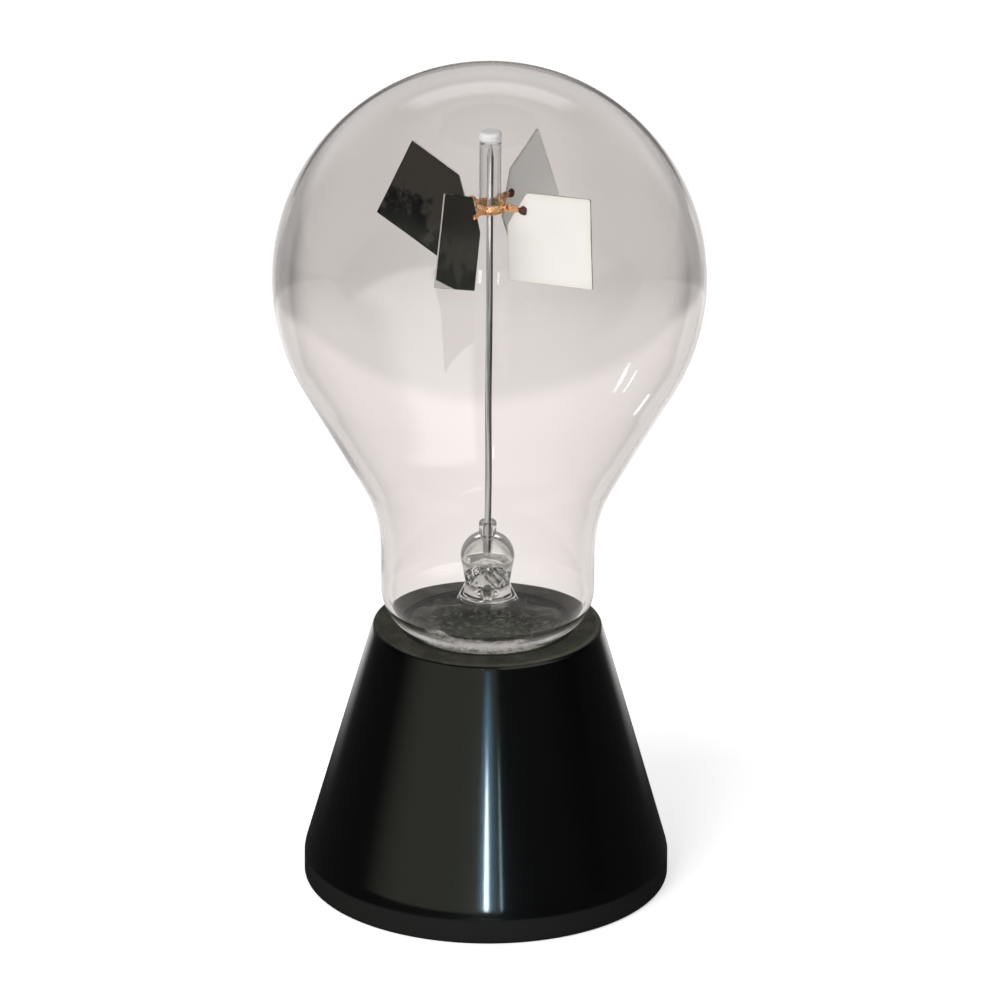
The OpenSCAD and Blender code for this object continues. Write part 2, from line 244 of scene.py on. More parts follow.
def swept(path, across, up, half_a, half_b, round_power, steps=20, closed=False):
    """Carries a rounded rectangle along a path.

    A point is path + across half_a |cos t|^p + up half_b |sin t|^p, each with the sign of its cosine or sine.
    An open path is closed at both ends by rows that shrink to its end points.
    """
    path = np.asarray(path, float)
    n = len(path)
    across = np.broadcast_to(np.asarray(across, float), (n, 3))
    up = np.broadcast_to(np.asarray(up, float), (n, 3))
    half_a = np.broadcast_to(np.asarray(half_a, float), n)
    half_b = np.broadcast_to(np.asarray(half_b, float), n)
    t = np.arange(steps) * 2 * np.pi / steps
    a = np.sign(np.cos(t)) * np.abs(np.cos(t)) ** round_power
    b = np.sign(np.sin(t)) * np.abs(np.sin(t)) ** round_power
    points = (
        path[:, None]
        + across[:, None] * (half_a[:, None] * a)[..., None]
        + up[:, None] * (half_b[:, None] * b)[..., None]
    )
    if not closed:
        first = np.repeat(path[:1, None], steps, 1)
        last = np.repeat(path[-1:, None], steps, 1)
        points = np.concatenate([first, points, last])
    return points.reshape(-1, 3), grid_faces(len(points), steps, closed_rows=closed, closed_cols=True)


def joined(parts):
    """Several (points, faces) as one, with the faces' numbers moved on."""
    points, faces, count = [], [], 0
    for p, f in parts:
        points.append(p)
        faces.append(f + count)
        count += len(p)
    return np.concatenate(points), np.concatenate(faces)


def piece_from(name, surface, material, body, replaces, outward=False, attributes=None):
    """Makes a piece of a surface in millimetres: joins its seams and poles and tells the frame what it is."""
    points, faces = surface
    mesh = bpy.data.meshes.new(name)
    mesh.from_pydata((points * MM).tolist(), [], faces.tolist())
    for key, values in (attributes or {}).items():
        mesh.attributes.new(key, "FLOAT", "POINT").data.foreach_set("value", np.asarray(values, np.float32))
    work = bmesh.new()
    work.from_mesh(mesh)
    bmesh.ops.remove_doubles(work, verts=work.verts, dist=2e-7)
    bmesh.ops.dissolve_degenerate(work, edges=work.edges, dist=1e-8)
    if outward:
        bmesh.ops.recalc_face_normals(work, faces=work.faces)
    work.to_mesh(mesh)
    work.free()
    mesh.shade_smooth()
    mesh.materials.append(material)
    piece = bpy.data.objects.new(name, mesh)
    bpy.context.scene.collection.objects.link(piece)
    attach(piece, body)
    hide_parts(*replaces)


# Shader maths


class Socket:
    """An output in a node tree. Sums on it add Math nodes, also with a plain number on either side."""

    def __init__(self, graph, output):
        self.graph = graph
        self.output = output

    def math(self, operation, *others):
        """A Math node on this number and others."""
        inputs = dict(enumerate((self, *others)))
        return self.graph.add("ShaderNodeMath", {"operation": operation}, inputs)

    def __add__(self, other):
        return self.math("ADD", other)

    def __mul__(self, other):
        return self.math("MULTIPLY", other)

    def __sub__(self, other):
        return self.math("SUBTRACT", other)

    def __rsub__(self, other):
        return self.graph.add("ShaderNodeMath", {"operation": "SUBTRACT"}, {0: other, 1: self})

    __radd__ = __add__
    __rmul__ = __mul__

    def between(self, low, high, to_low=0.0, to_high=1.0):
        """0 below low and 1 above high, with a soft step, or the two other values."""
        return self.graph.add(
            "ShaderNodeMapRange",
            {"interpolation_type": "SMOOTHSTEP"},
            {"Value": self, "From Min": low, "From Max": high, "To Min": to_low, "To Max": to_high},
        )


class Graph:
    """A node tree that is filled by expressions."""

    def __init__(self, tree):
        self.tree = tree
        tree.nodes.clear()

    def add(self, kind, settings=None, inputs=None, out=0):
        """Adds a node, sets its settings first and then its sockets, and gives back one output."""
        node = self.tree.nodes.new(kind)
        for key, value in (settings or {}).items():
            setattr(node, key, value)
        for key, value in (inputs or {}).items():
            if isinstance(value, Socket):
                self.tree.links.new(value.output, node.inputs[key])
            elif isinstance(value, tuple) and len(value) == 3 and node.inputs[key].type == "RGBA":
                node.inputs[key].default_value = (*value, 1)
            else:
                node.inputs[key].default_value = value
        return Socket(self, node.outputs[out]) if len(node.outputs) else None

    def mix(self, factor, a, b):
        """Blend of two colours."""
        return self.add("ShaderNodeMix", {"data_type": "RGBA"}, {0: factor, 6: a, 7: b}, out=2)

    def blend(self, factor, a, b):
        """Blend of two shaders."""
        return self.add("ShaderNodeMixShader", None, {0: factor, 1: a, 2: b})

    def shining(self, colour, strength=1.0):
        """A surface that gives off light of its own."""
        return self.add("ShaderNodeEmission", None, {"Color": colour, "Strength": strength})

    def named(self, attribute):
        """A number that the mesh holds for each point."""
        return self.add("ShaderNodeAttribute", {"attribute_name": attribute}, None, out=2)

    def outputs(self, kind):
        """All outputs of a new node without inputs, by name."""
        node = self.add(kind).output.node
        return {output.name: Socket(self, output) for output in node.outputs}

    def place(self):
        """Object coordinates, in metres in the frame."""
        return self.add("ShaderNodeTexCoord", out=3)

    def axes(self, vector):
        """The three numbers of a vector."""
        split = self.add("ShaderNodeSeparateXYZ", None, {0: vector})
        return [Socket(self, output) for output in split.output.node.outputs]

    def cylinder(self, vector):
        """Distance from the axis, and height."""
        x, y, z = self.axes(vector)
        return (x * x + y * y).math("SQRT"), z

    def noise(self, vector, size_mm, detail, rough, stretch=(1, 1, 1)):
        """Soft noise whose lumps are about size_mm across, or stretched by that many times."""
        scale = tuple(1 / times for times in stretch)
        scaled = self.add("ShaderNodeMapping", None, {"Vector": vector, "Scale": scale})
        return self.add(
            "ShaderNodeTexNoise",
            None,
            {"Vector": scaled, "Scale": 1000 / size_mm, "Detail": detail, "Roughness": rough},
        )

    def bump(self, height, depth_mm, strength=1.0):
        """A Bump node for a height of 0 to 1 that stands for that many millimetres."""
        inputs = {"Height": height, "Distance": depth_mm * MM, "Strength": strength}
        return self.add("ShaderNodeBump", None, inputs)

    def principled(self, **inputs):
        """A Principled BSDF; an underscore in a socket's name stands for a space."""
        return self.add("ShaderNodeBsdfPrincipled", None, {k.replace("_", " "): v for k, v in inputs.items()})


def material(name, build):
    """A new material whose surface is what build makes of its graph."""
    made = bpy.data.materials.new(name)
    made.use_nodes = True
    graph = Graph(made.node_tree)
    graph.add("ShaderNodeOutputMaterial", None, {"Surface": build(graph)})
    return made


# Where light passes glass straight, in metres: soft edges of distance from the axis or of height, and shares
CORE_SIDE = (0.0055, 0.006)
FILM_SIDE = (0.016, 0.0172)
FILM_TOP = (0.0517, 0.0523)
BALL_LOW = (0.0598, 0.0602)
HOLLOW_LOW = (0.06, 0.0606)
STEM_TO_CAP = (0.1, 0.12)
UNDER_TIP = (0.1362, 0.1366)
OVER_CAP = (0.1395, 0.14)
FILM_SHARE = 0.96
BALL_SHARE = 0.22
CAP_SHARE = 0.4


def clear_for_lamps(g, glass):
    """Glass that light on its way to lamps and dull surfaces passes straight, so that what is inside is lit.

    Mirrored light in the bulb's hollow leaves it straight as well. Mirrored light within a wall does not, but
    for the ball's and the cap's. The bulb's floor and the skirt's foot are thin film, which most light passes
    straight. A share of it passes the ball and the cap so. What enters straight leaves straight.
    """
    rays = g.outputs("ShaderNodeLightPath")
    within = g.outputs("ShaderNodeNewGeometry")["Backfacing"]
    passed = rays["Transparent Depth"].math("GREATER_THAN", 0.5)
    far, z = g.cylinder(g.place())
    core = 1 - far.between(*CORE_SIDE)
    stem = core * z.between(*HOLLOW_LOW) * (1 - z.between(*OVER_CAP)) * z.between(*STEM_TO_CAP, 1.0, 0.35)
    hollow = (1 - within).math("MAXIMUM", passed).math("MAXIMUM", stem)
    aside = rays["Is Shadow Ray"] + rays["Is Diffuse Ray"]
    aside = aside.math("MAXIMUM", rays["Is Reflection Ray"] * hollow)
    film = (1 - far.between(*FILM_SIDE)).math("MAXIMUM", within * passed) * (1 - z.between(*FILM_TOP))
    aside = aside.math("MAXIMUM", film * FILM_SHARE)
    share = z.between(*BALL_LOW) * z.between(*STEM_TO_CAP, BALL_SHARE, CAP_SHARE)
    below_tip = 1 - z.between(*UNDER_TIP)
    aside = aside.math("MAXIMUM", core * below_tip * passed.math("MAXIMUM", (1 - within) * share))
    return g.blend(aside, glass, g.add("ShaderNodeBsdfTransparent", None, {"Color": (0.97, 0.97, 0.97)}))


# Finishes


def cement_with_painted_light(g, here, grain):
    """Colour of cement spread by hand, with painted light and shade: pale in front and grey to the left as
    painted light, dark behind and to the right as painted shade, over real mottle and specks.
    """
    x, y, _ = g.axes(here)
    cloud = g.noise(here, 5, 4, 0.6)
    fine = g.noise(here, 1.4, 4, 0.7)
    # How far a point lies towards the front and the left, a little clouded: the cement's painted light and
    # shade follow it.
    side = cloud * 0.012 - y - x * 0.25 + fine * 0.003
    mottle = g.noise(here, 0.9, 3, 0.7)
    # Painted shade behind and to the right; grey in front and to the left.
    colour = g.mix(side.between(0.002, 0.011), (0.006, 0.007, 0.003), (0.05, 0.051, 0.038))
    # Painted light: a pale patch in the front middle.
    pale = side.between(0.0125, 0.0145) * (1 - x.math("ABSOLUTE").between(0.009, 0.012))
    colour = g.mix(pale, colour, (0.62, 0.62, 0.54))
    colour = g.mix(mottle.between(0.5, 0.58) * 0.5, colour, (0.24, 0.26, 0.18))
    colour = g.mix((1 - fine.between(0.44, 0.54)) * 0.6, colour, (0.01, 0.012, 0.006))
    return g.mix((1 - grain.between(0.38, 0.48)) * 0.7, colour, (0.01, 0.012, 0.006))


# Soft edges of the base's finishes, in metres: heights, then distances from the axis
BAND_TOP = (0.0042, 0.0048)
SEAT_LOW = (0.0448, 0.045)
SEAT_TOP = (0.0462, 0.0464)
RIM_LOW = (0.0471, 0.04735)
SEAT_SIDE = (0.01478, 0.01484)
LIP_SIDE = (0.0152, 0.0155)
RIM_HIGHLIGHT_SIDE = (0.0186, 0.0196)
SHADOW_LINE_SIDE = (0.0137, 0.0142)


def moulded_black(settings):
    """Glossy black moulding: fine flow marks, a duller band, a dusty rim with a painted highlight on its
    outer edge, a painted shadow round the seat's lip, and cement in the seat with painted light and shade.
    """

    def build(g):
        here = g.place()
        x, _, _ = g.axes(here)
        far, z = g.cylinder(here)
        rim = z.between(*RIM_LOW)
        lip = (1 - far.between(*LIP_SIDE)) * z.between(*SEAT_LOW)
        band = 1 - z.between(*BAND_TOP)
        seat = z.between(*SEAT_LOW) * (1 - z.between(*SEAT_TOP)) * (1 - far.between(*SEAT_SIDE))
        grain = g.noise(here, 0.5, 5, 0.75)
        dust = g.noise(here, 0.3, 5, 0.75).between(0.52, 0.7)
        cloud = g.noise(here, 4, 4, 0.6)
        flow = g.noise(here, 3.0, 3, 0.55, (1, 1, 6))
        colour = g.mix(band, tuple(settings.base_colour), (0.0135, 0.014, 0.013))
        olive = g.mix(cloud.between(0.35, 0.7), (0.034, 0.034, 0.024), (0.06, 0.06, 0.045))
        # Painted highlight: the rim's outer edge is lighter, growing from a little left of the middle towards
        # the right.
        painted_rim_highlight = far.between(*RIM_HIGHLIGHT_SIDE) * x.between(-0.008, 0.012) * 0.5
        olive = g.mix(painted_rim_highlight, olive, (0.13, 0.13, 0.108))
        colour = g.mix(rim, colour, olive)
        colour = g.mix(rim * dust * 0.6, colour, (0.17, 0.17, 0.14))
        # Painted shadow: the lip round the seat is near black, as under the glass's edge.
        colour = g.mix(lip, colour, (0.01, 0.01, 0.008))
        colour = g.mix(seat, colour, cement_with_painted_light(g, here, grain))
        dull = rim.math("MAXIMUM", lip)
        rough = 0.3 + flow * 0.08 + band * 0.25 + dull * 0.45 + dust * 0.03
        coat = 1 - dull.math("MAXIMUM", band * 0.75)
        height = flow * 0.4 + dust * dull * 1.2 + cloud * 0.5
        return g.principled(
            Base_Color=colour,
            Roughness=rough,
            Specular_IOR_Level=0.15,
            Coat_Weight=coat,
            Coat_Roughness=0.09,
            Coat_IOR=1.5,
            Normal=g.bump(height, 0.03, 0.3),
        )

    return material("moulded_black", build)


def seat_cement_finish():
    """Coarse cement, with a painted shadow line on its outer part, outside where the glass's foot meets it.
    """

    def build(g):
        here = g.place()
        far, _ = g.cylinder(here)
        grain = g.noise(here, 0.5, 5, 0.75)
        # Painted shadow: the cement is near black outside where the glass's foot meets it.
        painted_shadow_line = far.between(*SHADOW_LINE_SIDE) * 0.93
        colour = g.mix(painted_shadow_line, cement_with_painted_light(g, here, grain), (0.006, 0.006, 0.005))
        return g.principled(Base_Color=colour, Roughness=0.75 + grain * 0.2, Normal=g.bump(grain, 0.15))

    return material("seat_cement_grey", build)


def glass_finish(name, tint, ior, tip=None):
    """Clear blown glass with a faint tint. Above the height tip it is fused and cloudy."""

    def build(g):
        glass = g.principled(
            Base_Color=tuple(tint), Roughness=0.0, IOR=ior, Transmission_Weight=1.0, Specular_IOR_Level=0.5
        )
        if tip:
            _, z = g.cylinder(g.place())
            cloudy = g.principled(Base_Color=(0.93, 0.93, 0.92), Roughness=0.3)
            glass = g.blend(z.between(tip, tip + 0.0008) * 0.88, glass, cloudy)
        return clear_for_lamps(g, glass)

    return material(name, build)


def needle_steel():
    """Drawn steel: long fine streaks, a little duller in places, and painted shade down its right side."""

    def build(g):
        here = g.place()
        x, _, z = g.axes(here)
        streak = g.noise(here, 0.22, 3, 0.6, (1, 1, 80))
        cloud = g.noise(here, 2, 3, 0.6, (1, 1, 4))
        colour = g.mix(streak.between(0.38, 0.6), (0.28, 0.27, 0.26), (0.78, 0.77, 0.75))
        colour = g.mix(cloud.between(0.5, 0.8) * 0.4, colour, (0.36, 0.35, 0.34))
        # Painted shade: the needle's right side is darker, more so below the cap.
        painted_shade_side = x.between(0.0001, 0.00024) * z.between(0.122, 0.126, 0.9, 0.4)
        colour = g.mix(painted_shade_side, colour, (0.05, 0.048, 0.045))
        return g.principled(
            Base_Color=colour, Metallic=0.35, Roughness=0.3 + streak * 0.15, Normal=g.bump(streak, 0.006, 0.5)
        )

    return material("needle_steel", build)


def rotor_copper(settings):
    """Bright copper, flattened by hand: brown oxide in stained patches, and painted gold highlights on the
    tops of its dents.
    """

    def build(g):
        here = g.place()
        dents_and_painted_highlights = g.noise(here, 0.8, 3, 0.55)
        stain = g.noise(here, 0.9, 4, 0.65)
        colour = g.mix(stain.between(0.5, 0.6), tuple(settings.copper_colour), (0.24, 0.06, 0.018))
        # Painted highlights: gold on the tops of the dents.
        colour = g.mix(dents_and_painted_highlights.between(0.5, 0.62) * 0.85, colour, (1.0, 0.72, 0.36))
        return g.principled(
            Base_Color=colour, Metallic=0.35, Roughness=0.2 + stain * 0.12, Normal=g.bump(dents_and_painted_highlights, 0.2, 0.9)
        )

    return material("rotor_copper", build)


def bead_finish():
    """Dark red-brown cement, glossy where it set as a skin."""

    def build(g):
        here = g.place()
        lump = g.noise(here, 0.5, 4, 0.6)
        colour = g.mix(lump.between(0.35, 0.75), (0.02, 0.005, 0.004), (0.13, 0.032, 0.016))
        rough = 0.5 + lump * 0.25
        bumps = g.bump(lump, 0.1, 0.7)
        return g.principled(Base_Color=colour, Roughness=rough, Specular_IOR_Level=0.12, Normal=bumps)

    return material("bead_cement", build)


def vane_white_finish(settings):
    """White vane, a little cream towards its cut edges, with faint blotches."""

    def build(g):
        here = g.place()
        edge = g.named("edge_mm")
        blotch = g.noise(here, 3.5, 4, 0.6)
        fibre = g.noise(here, 0.25, 3, 0.6)
        near = 1 - (edge + (blotch - 0.5) * 1.6).between(0.0, 1.3)
        colour = g.mix(blotch.between(0.35, 0.75) * 0.35, tuple(settings.white_colour), (0.88, 0.84, 0.77))
        colour = g.mix(near * 0.4, colour, (0.86, 0.8, 0.66))
        colour = g.mix((1 - edge.between(0.02, 0.14)) * 0.75, colour, (0.3, 0.29, 0.27))
        return g.principled(
            Base_Color=colour, Roughness=0.5 + fibre * 0.15, Normal=g.bump(fibre + blotch, 0.02, 0.5)
        )

    return material("vane_white", build)


def lampblack_finish(settings):
    """Soot: brownish grey where it is thin, deep black where it lies thick, with no shine."""

    def build(g):
        here = g.place()
        edge = g.named("edge_mm")
        low = g.named("low")
        patch = g.noise(here, 4.2, 5, 0.68)
        grain = g.noise(here, 0.14, 4, 0.75)
        thick = (patch + low * 0.22).between(0.53, 0.66)
        colour = g.mix(thick, tuple(settings.soot_colour), (0.004, 0.004, 0.0045))
        colour = g.mix(grain.between(0.62, 0.8) * 0.35, colour, (0.07, 0.068, 0.06))
        colour = g.mix((1 - edge.between(0.05, 0.35)) * 0.5, colour, (0.004, 0.004, 0.004))
        return g.principled(
            Base_Color=colour, Roughness=1.0, Specular_IOR_Level=0.07, Normal=g.bump(grain, 0.05, 0.6)
        )

    return material("lampblack_soot", build)


# Shapes of the glass

# How deep the waves in it are, in millimetres
GLASS_RIPPLE = 0.035
FLOOR_RIPPLE = 0.02


def glass_ripple(r, z, t):
    """Low waves in blown glass: sines of the turn and the height, faded near the poles."""
    fade = np.clip(r / 8, 0, 1) * np.clip((z - FLOOR_Z - 3) / 8, 0, 1)
    waves = (
        np.sin(2 * t + 0.06 * z + 0.7)
        + 0.6 * np.sin(3 * t - 0.11 * z + 2.1)
        + 0.35 * np.sin(5 * t + 0.19 * z + 4.0)
        + 0.5 * np.sin(0.17 * z + t)
    )
    return GLASS_RIPPLE * fade * waves


def floor_waves(r, z, t):
    """Unevenness of the bulb's inner floor: sines of the turn and the radius, from 6 to 11 mm out."""
    on_floor = np.clip((r - 5.6) / 1.5, 0, 1) * np.clip((11.5 - r) / 1.5, 0, 1) * (np.abs(z - FLOOR_Z) < 0.9)
    waves = np.sin(5 * t + 1.1 * r) + 0.7 * np.sin(9 * t - 1.7 * r + 2) + 0.5 * np.sin(17 * t + 2.3 * r)
    return FLOOR_RIPPLE * on_floor * waves


def bend(start, corner, end, steps):
    """A curve that leaves start and reaches end towards the corner: (1-t)^2 a + 2 t (1-t) b + t^2 c."""
    t = np.linspace(0, 1, steps)[:, None]
    return (1 - t) ** 2 * np.array(start) + 2 * t * (1 - t) * np.array(corner) + t**2 * np.array(end)


def skirt_side(inside, last):
    """The skirt's wall from its top down to a share of its height, at a distance inside its outer face."""
    share = np.linspace(0, last, 22)
    return np.stack([skirt_r(share) - inside, SKIRT_TOP_Z - SKIRT_H * share], 1)


def bulb_surface():
    """Bulb and skirt as the one blown wall that they are.

    Inside from the top down, over the floor and up the skirt, through the hole for the exhaust tube, down the
    skirt's inside and round the bottom, then outside up to the top.
    """
    last = 0.74
    outer_skirt = skirt_side(0, last)
    inner_skirt = skirt_side(0.8 * SKIRT_T, last)
    web_z = SKIRT_TOP_Z - PLUG_T
    inner_skirt = inner_skirt[inner_skirt[:, 1] < web_z - 0.35]
    hole = EXHAUST_R + 0.02
    inner = even(bulb_side(GLASS_T)[::-1], 0.8)
    outer = even(bulb_side(0.02), 0.8)
    rest = np.concatenate(
        [
            inner[-1:],
            bend((HEEL_X - 0.3, FLOOR_Z), (SKIRT_FOOT_R, FLOOR_Z), outer_skirt[-1], 14),
            outer_skirt[::-1][1:-1],
            [[SKIRT_TOP_R + 0.03, SKIRT_TOP_Z - 0.12], [SKIRT_TOP_R - 0.1, SKIRT_TOP_Z]],
            [[hole + 0.1, SKIRT_TOP_Z], [hole, SKIRT_TOP_Z - 0.1], [hole, web_z + 0.1], [hole + 0.1, web_z]],
            [[hole + 0.5, web_z + 0.12], [(hole + inner_skirt[0, 0]) / 2, web_z + 0.2]],
            [[inner_skirt[0, 0] - 0.45, web_z + 0.1], [inner_skirt[0, 0] - 0.1, web_z - 0.12]],
            inner_skirt,
            bend(inner_skirt[-1], (SKIRT_FOOT_R - SKIRT_T + 0.2, SEAT_Z), (HEEL_X - 0.6, SEAT_Z), 14)[1:],
            outer,
        ]
    )
    inside = revolved(inner, BULB_ROUND, glass_ripple)
    return joined([inside, revolved(rest, BULB_ROUND, None, floor_waves)])


def ball_surfaces():
    """The ball on the skirt: outside with collar and socket, hollow, and a dome in its solid lower half.

    The dome is open to the exhaust tube below. The hollow is a sphere that ends in a level floor.
    """
    dist = math.hypot(SKIRT_TOP_R, STEM_BALL_Z - SKIRT_TOP_Z)
    tangent = math.degrees(
        math.acos(STEM_BALL_R / dist) - math.atan((STEM_BALL_Z - SKIRT_TOP_Z) / SKIRT_TOP_R)
    )
    seal_angle = math.degrees(math.asin((SEAL_Z - STEM_BALL_Z) / STEM_BALL_R))
    roll_r = (SEAL_R - SOCKET_BORE_R) / 2
    foot = SKIRT_TOP_Z + 0.02
    dome = arc((0, 0), 1, 90, 0, 24) * [2.75, 3.5] + [0, 55.9]
    outside = np.concatenate(
        [
            dome,
            [[2.72, foot + 0.25], [2.5, foot + 0.05], [2.55, foot], [SKIRT_TOP_R - 0.15, foot]],
            [[SKIRT_TOP_R - 0.02, foot + 0.08]],
            arc((0, STEM_BALL_Z), STEM_BALL_R, tangent, seal_angle, 70),
            bend((SEAL_R + 0.12, SEAL_Z - 0.02), (SEAL_R, SEAL_Z + 0.05), (SEAL_R - 0.06, SEAL_Z + 0.5), 5),
            [[SEAL_R - 0.05, SEAL_Z + SEAL_H - roll_r - 0.35]],
            arc((SEAL_R - roll_r, SEAL_Z + SEAL_H - roll_r), roll_r, -30, 180, 20),
            even([[SOCKET_BORE_R, SEAL_Z + SEAL_H - roll_r], [SOCKET_BORE_R, NEEDLE_Z + 0.02]], 0.5)[1:],
            [[0, NEEDLE_Z + 0.02]],
        ]
    )
    level = HOLLOW_FLOOR_Z
    join = math.degrees(math.acos(SOCKET_R / HOLLOW_R))
    low = math.degrees(math.asin((level - HOLLOW_Z) / HOLLOW_R))
    socket_end = arc((0, SOCKET_Z + SOCKET_R), SOCKET_R, -90, 0, 12)
    side = arc((0, HOLLOW_Z), HOLLOW_R, join, low, 60)
    floor_edge = side[-1, 0]
    hollow = np.concatenate(
        [
            socket_end,
            even([[SOCKET_R, SOCKET_Z + SOCKET_R], side[0]], 0.3)[1:-1],
            side,
            bend(side[-1], (floor_edge - 0.15, level - 0.3), (floor_edge - 0.7, level - 0.32), 6)[1:],
            [[2.0, level - 0.3], [1.0, level - 0.22], [0.4, level - 0.2], [0, level - 0.2]],
        ]
    )

    def lumps(r, z, t):
        """Lumps on the dome and the hollow's floor, none on the outside."""
        inside = (z < level + 0.1) * (r < 3.4) * np.clip(r, 0, 1)
        waves = 0.16 * np.sin(3 * t + z) + 0.1 * np.sin(7 * t - 2 * z) + 0.06 * np.sin(11 * t + 3 * z)
        return inside * waves

    def swell(r, z, t):
        """A floor that is no mirror: it tilts and waves a little."""
        fade = np.clip(r / 1.5, 0, 1) * np.clip((3.9 - r) * 2, 0, 1)
        waves = 0.14 * np.sin(t + 0.6) + 0.1 * np.sin(3 * t + r) + 0.07 * np.sin(5 * t - 2 * r)
        return (z < level + 0.02) * (z > level - 0.5) * fade * waves

    split = len(dome)
    lower = revolved(outside[: split + 1], BALL_ROUND, lumps)
    upper = revolved(outside[split:], BALL_ROUND)
    return joined([lower, upper, revolved(hollow, BALL_ROUND, None, swell)])


def exhaust_surface():
    """The exhaust tube: drawn tip, outside, open upper end and bore."""
    tip = arc((0, TIP_Z + 0.3), 0.3, -90, -10, 8)
    top = SKIRT_TOP_Z - 0.02
    profile = np.concatenate(
        [
            tip,
            bend((0.32, TIP_Z + 0.4), (0.5, TIP_Z + 1.6), (EXHAUST_R, DRAW_Z), 10),
            even([[EXHAUST_R, DRAW_Z + 0.2], [EXHAUST_R, top - 0.1]], 0.3),
            [[EXHAUST_R - 0.1, top], [EXHAUST_BORE_R + 0.1, top], [EXHAUST_BORE_R, top - 0.1]],
            [[EXHAUST_BORE_R, DRAW_Z], [0.35, DRAW_Z - 0.8], [0, DRAW_Z - 1.6]],
        ]
    )
    return revolved(profile, TUBE_ROUND)


def cap_surface():
    """The cap: its bore from the rounded end down, round the open end, and its outside up to the crown."""
    bore_top = CAP_TOP_Z - CROWN_T - CAP_BORE_R
    end = arc((0, bore_top), CAP_BORE_R, 90, 0, 20)
    crown = arc((CAP_R - 0.6, CAP_TOP_Z - 0.6), 0.6, 0, 90, 14)
    middle = (CAP_R + CAP_BORE_R) / 2
    mouth = arc((middle, CAP_Z + (CAP_R - CAP_BORE_R) / 2), (CAP_R - CAP_BORE_R) / 2, 180, 360, 14)
    profile = np.concatenate(
        [
            end,
            even([[CAP_BORE_R, bore_top], [CAP_BORE_R, CAP_Z + 0.3]], 0.6)[1:],
            mouth,
            even([[CAP_R, CAP_Z + 0.3], [CAP_R, CAP_TOP_Z - 0.6]], 0.6)[:-1],
            crown,
            [[0.6, CAP_TOP_Z], [0, CAP_TOP_Z]],
        ]
    )
    return revolved(profile, HUB_ROUND)


# Shapes of the base


def base_surfaces():
    """The moulded base from the middle of its hollow, over foot, cone, rim and seat to the middle again.

    Each rib is a level strip under the plate whose lower edge rises towards the middle.
    """
    edge_z = BASE_H - RIM_EDGE_R
    edge_x = cone_r(edge_z) - RIM_EDGE_R / math.cos(math.radians(CONE_ANGLE))
    wall_x = cone_r(PLATE_Z) - WALL_LEVEL
    profile = np.concatenate(
        [
            [[0, PLATE_Z], [wall_x - 0.8, PLATE_Z], [wall_x - 0.1, PLATE_Z - 0.4]],
            even([[wall_x + 0.2, PLATE_Z - 1.2], [FOOT_R - WALL_LEVEL, BAND_H]], 2.0),
            [[FOOT_R - WALL_LEVEL, 0.3], [FOOT_R - WALL_LEVEL + 0.3, 0]],
            [[FOOT_R - FOOT_EDGE_R - 0.2, 0]],
            arc((FOOT_R - FOOT_EDGE_R, FOOT_EDGE_R), FOOT_EDGE_R, -90, 0, 12),
            [[FOOT_R, BAND_H - 0.6], [FOOT_R - 0.02, BAND_H - 0.25], [FOOT_R - 0.12, BAND_H + 0.05]],
            even([[cone_r(BAND_H + 0.5) - 0.02, BAND_H + 0.5], [cone_r(edge_z - 0.1), edge_z - 0.1]], 1.5),
            arc((edge_x, edge_z), RIM_EDGE_R, CONE_ANGLE, 90, 14),
            even([[edge_x - 0.2, BASE_H], [SEAT_R + 0.25, BASE_H]], 0.5),
            [[SEAT_R + 0.06, BASE_H - 0.05], [SEAT_R, BASE_H - 0.25], [SEAT_R, SEAT_FLOOR_Z + 0.2]],
            [[SEAT_R - 0.2, SEAT_FLOOR_Z], [0, SEAT_FLOOR_Z]],
        ]
    )
    parts = [revolved(profile, BASE_ROUND)]
    for k in range(RIBS):
        turn = math.radians(360 * k / RIBS)
        out = np.array([math.cos(turn), math.sin(turn), 0])
        side = np.array([-math.sin(turn), math.cos(turn), 0])
        share = np.linspace(0, 1, 14)[:, None]
        inner = wall_x - 10
        outer = wall_x + 0.6
        x = inner + (outer - inner) * share
        low = PLATE_Z - 9 * np.clip(share, 0, 1) ** 1.05
        high = PLATE_Z + 0.5
        path = x * out + np.array([0, 0, 1]) * (low + high) / 2
        parts.append(swept(path, side, (0, 0, 1), 0.75, (high - low[:, 0]) / 2, 0.2, 24))
    return joined(parts)


def cement_ring_surface():
    """Cement round the bulb's foot: a ring in the seat that fits under the heel's arc."""
    top = BASE_H - 0.12
    rise = math.degrees(math.asin((HEEL_Z - top) / HEEL_R))
    outer = SEAT_R - 0.02
    heel = arc((HEEL_X, HEEL_Z), HEEL_R + 0.02, -rise, -90, 24)
    profile = np.concatenate(
        [
            even([[SKIRT_FOOT_R, SEAT_FLOOR_Z + 0.01], [outer, SEAT_FLOOR_Z + 0.01]], 0.6),
            even([[outer, SEAT_FLOOR_Z + 0.3], [outer, top]], 0.4),
            even([[outer - 0.1, top + 0.03], [heel[0, 0] + 0.08, top + 0.03]], 0.1),
            heel,
            even([[HEEL_X - 0.3, SEAT_Z - 0.02], [SKIRT_FOOT_R, SEAT_Z - 0.02]], 0.6),
            [[SKIRT_FOOT_R, SEAT_FLOOR_Z + 0.01]],
        ]
    )
    return revolved(profile, BASE_ROUND)


# Shapes of the rotor


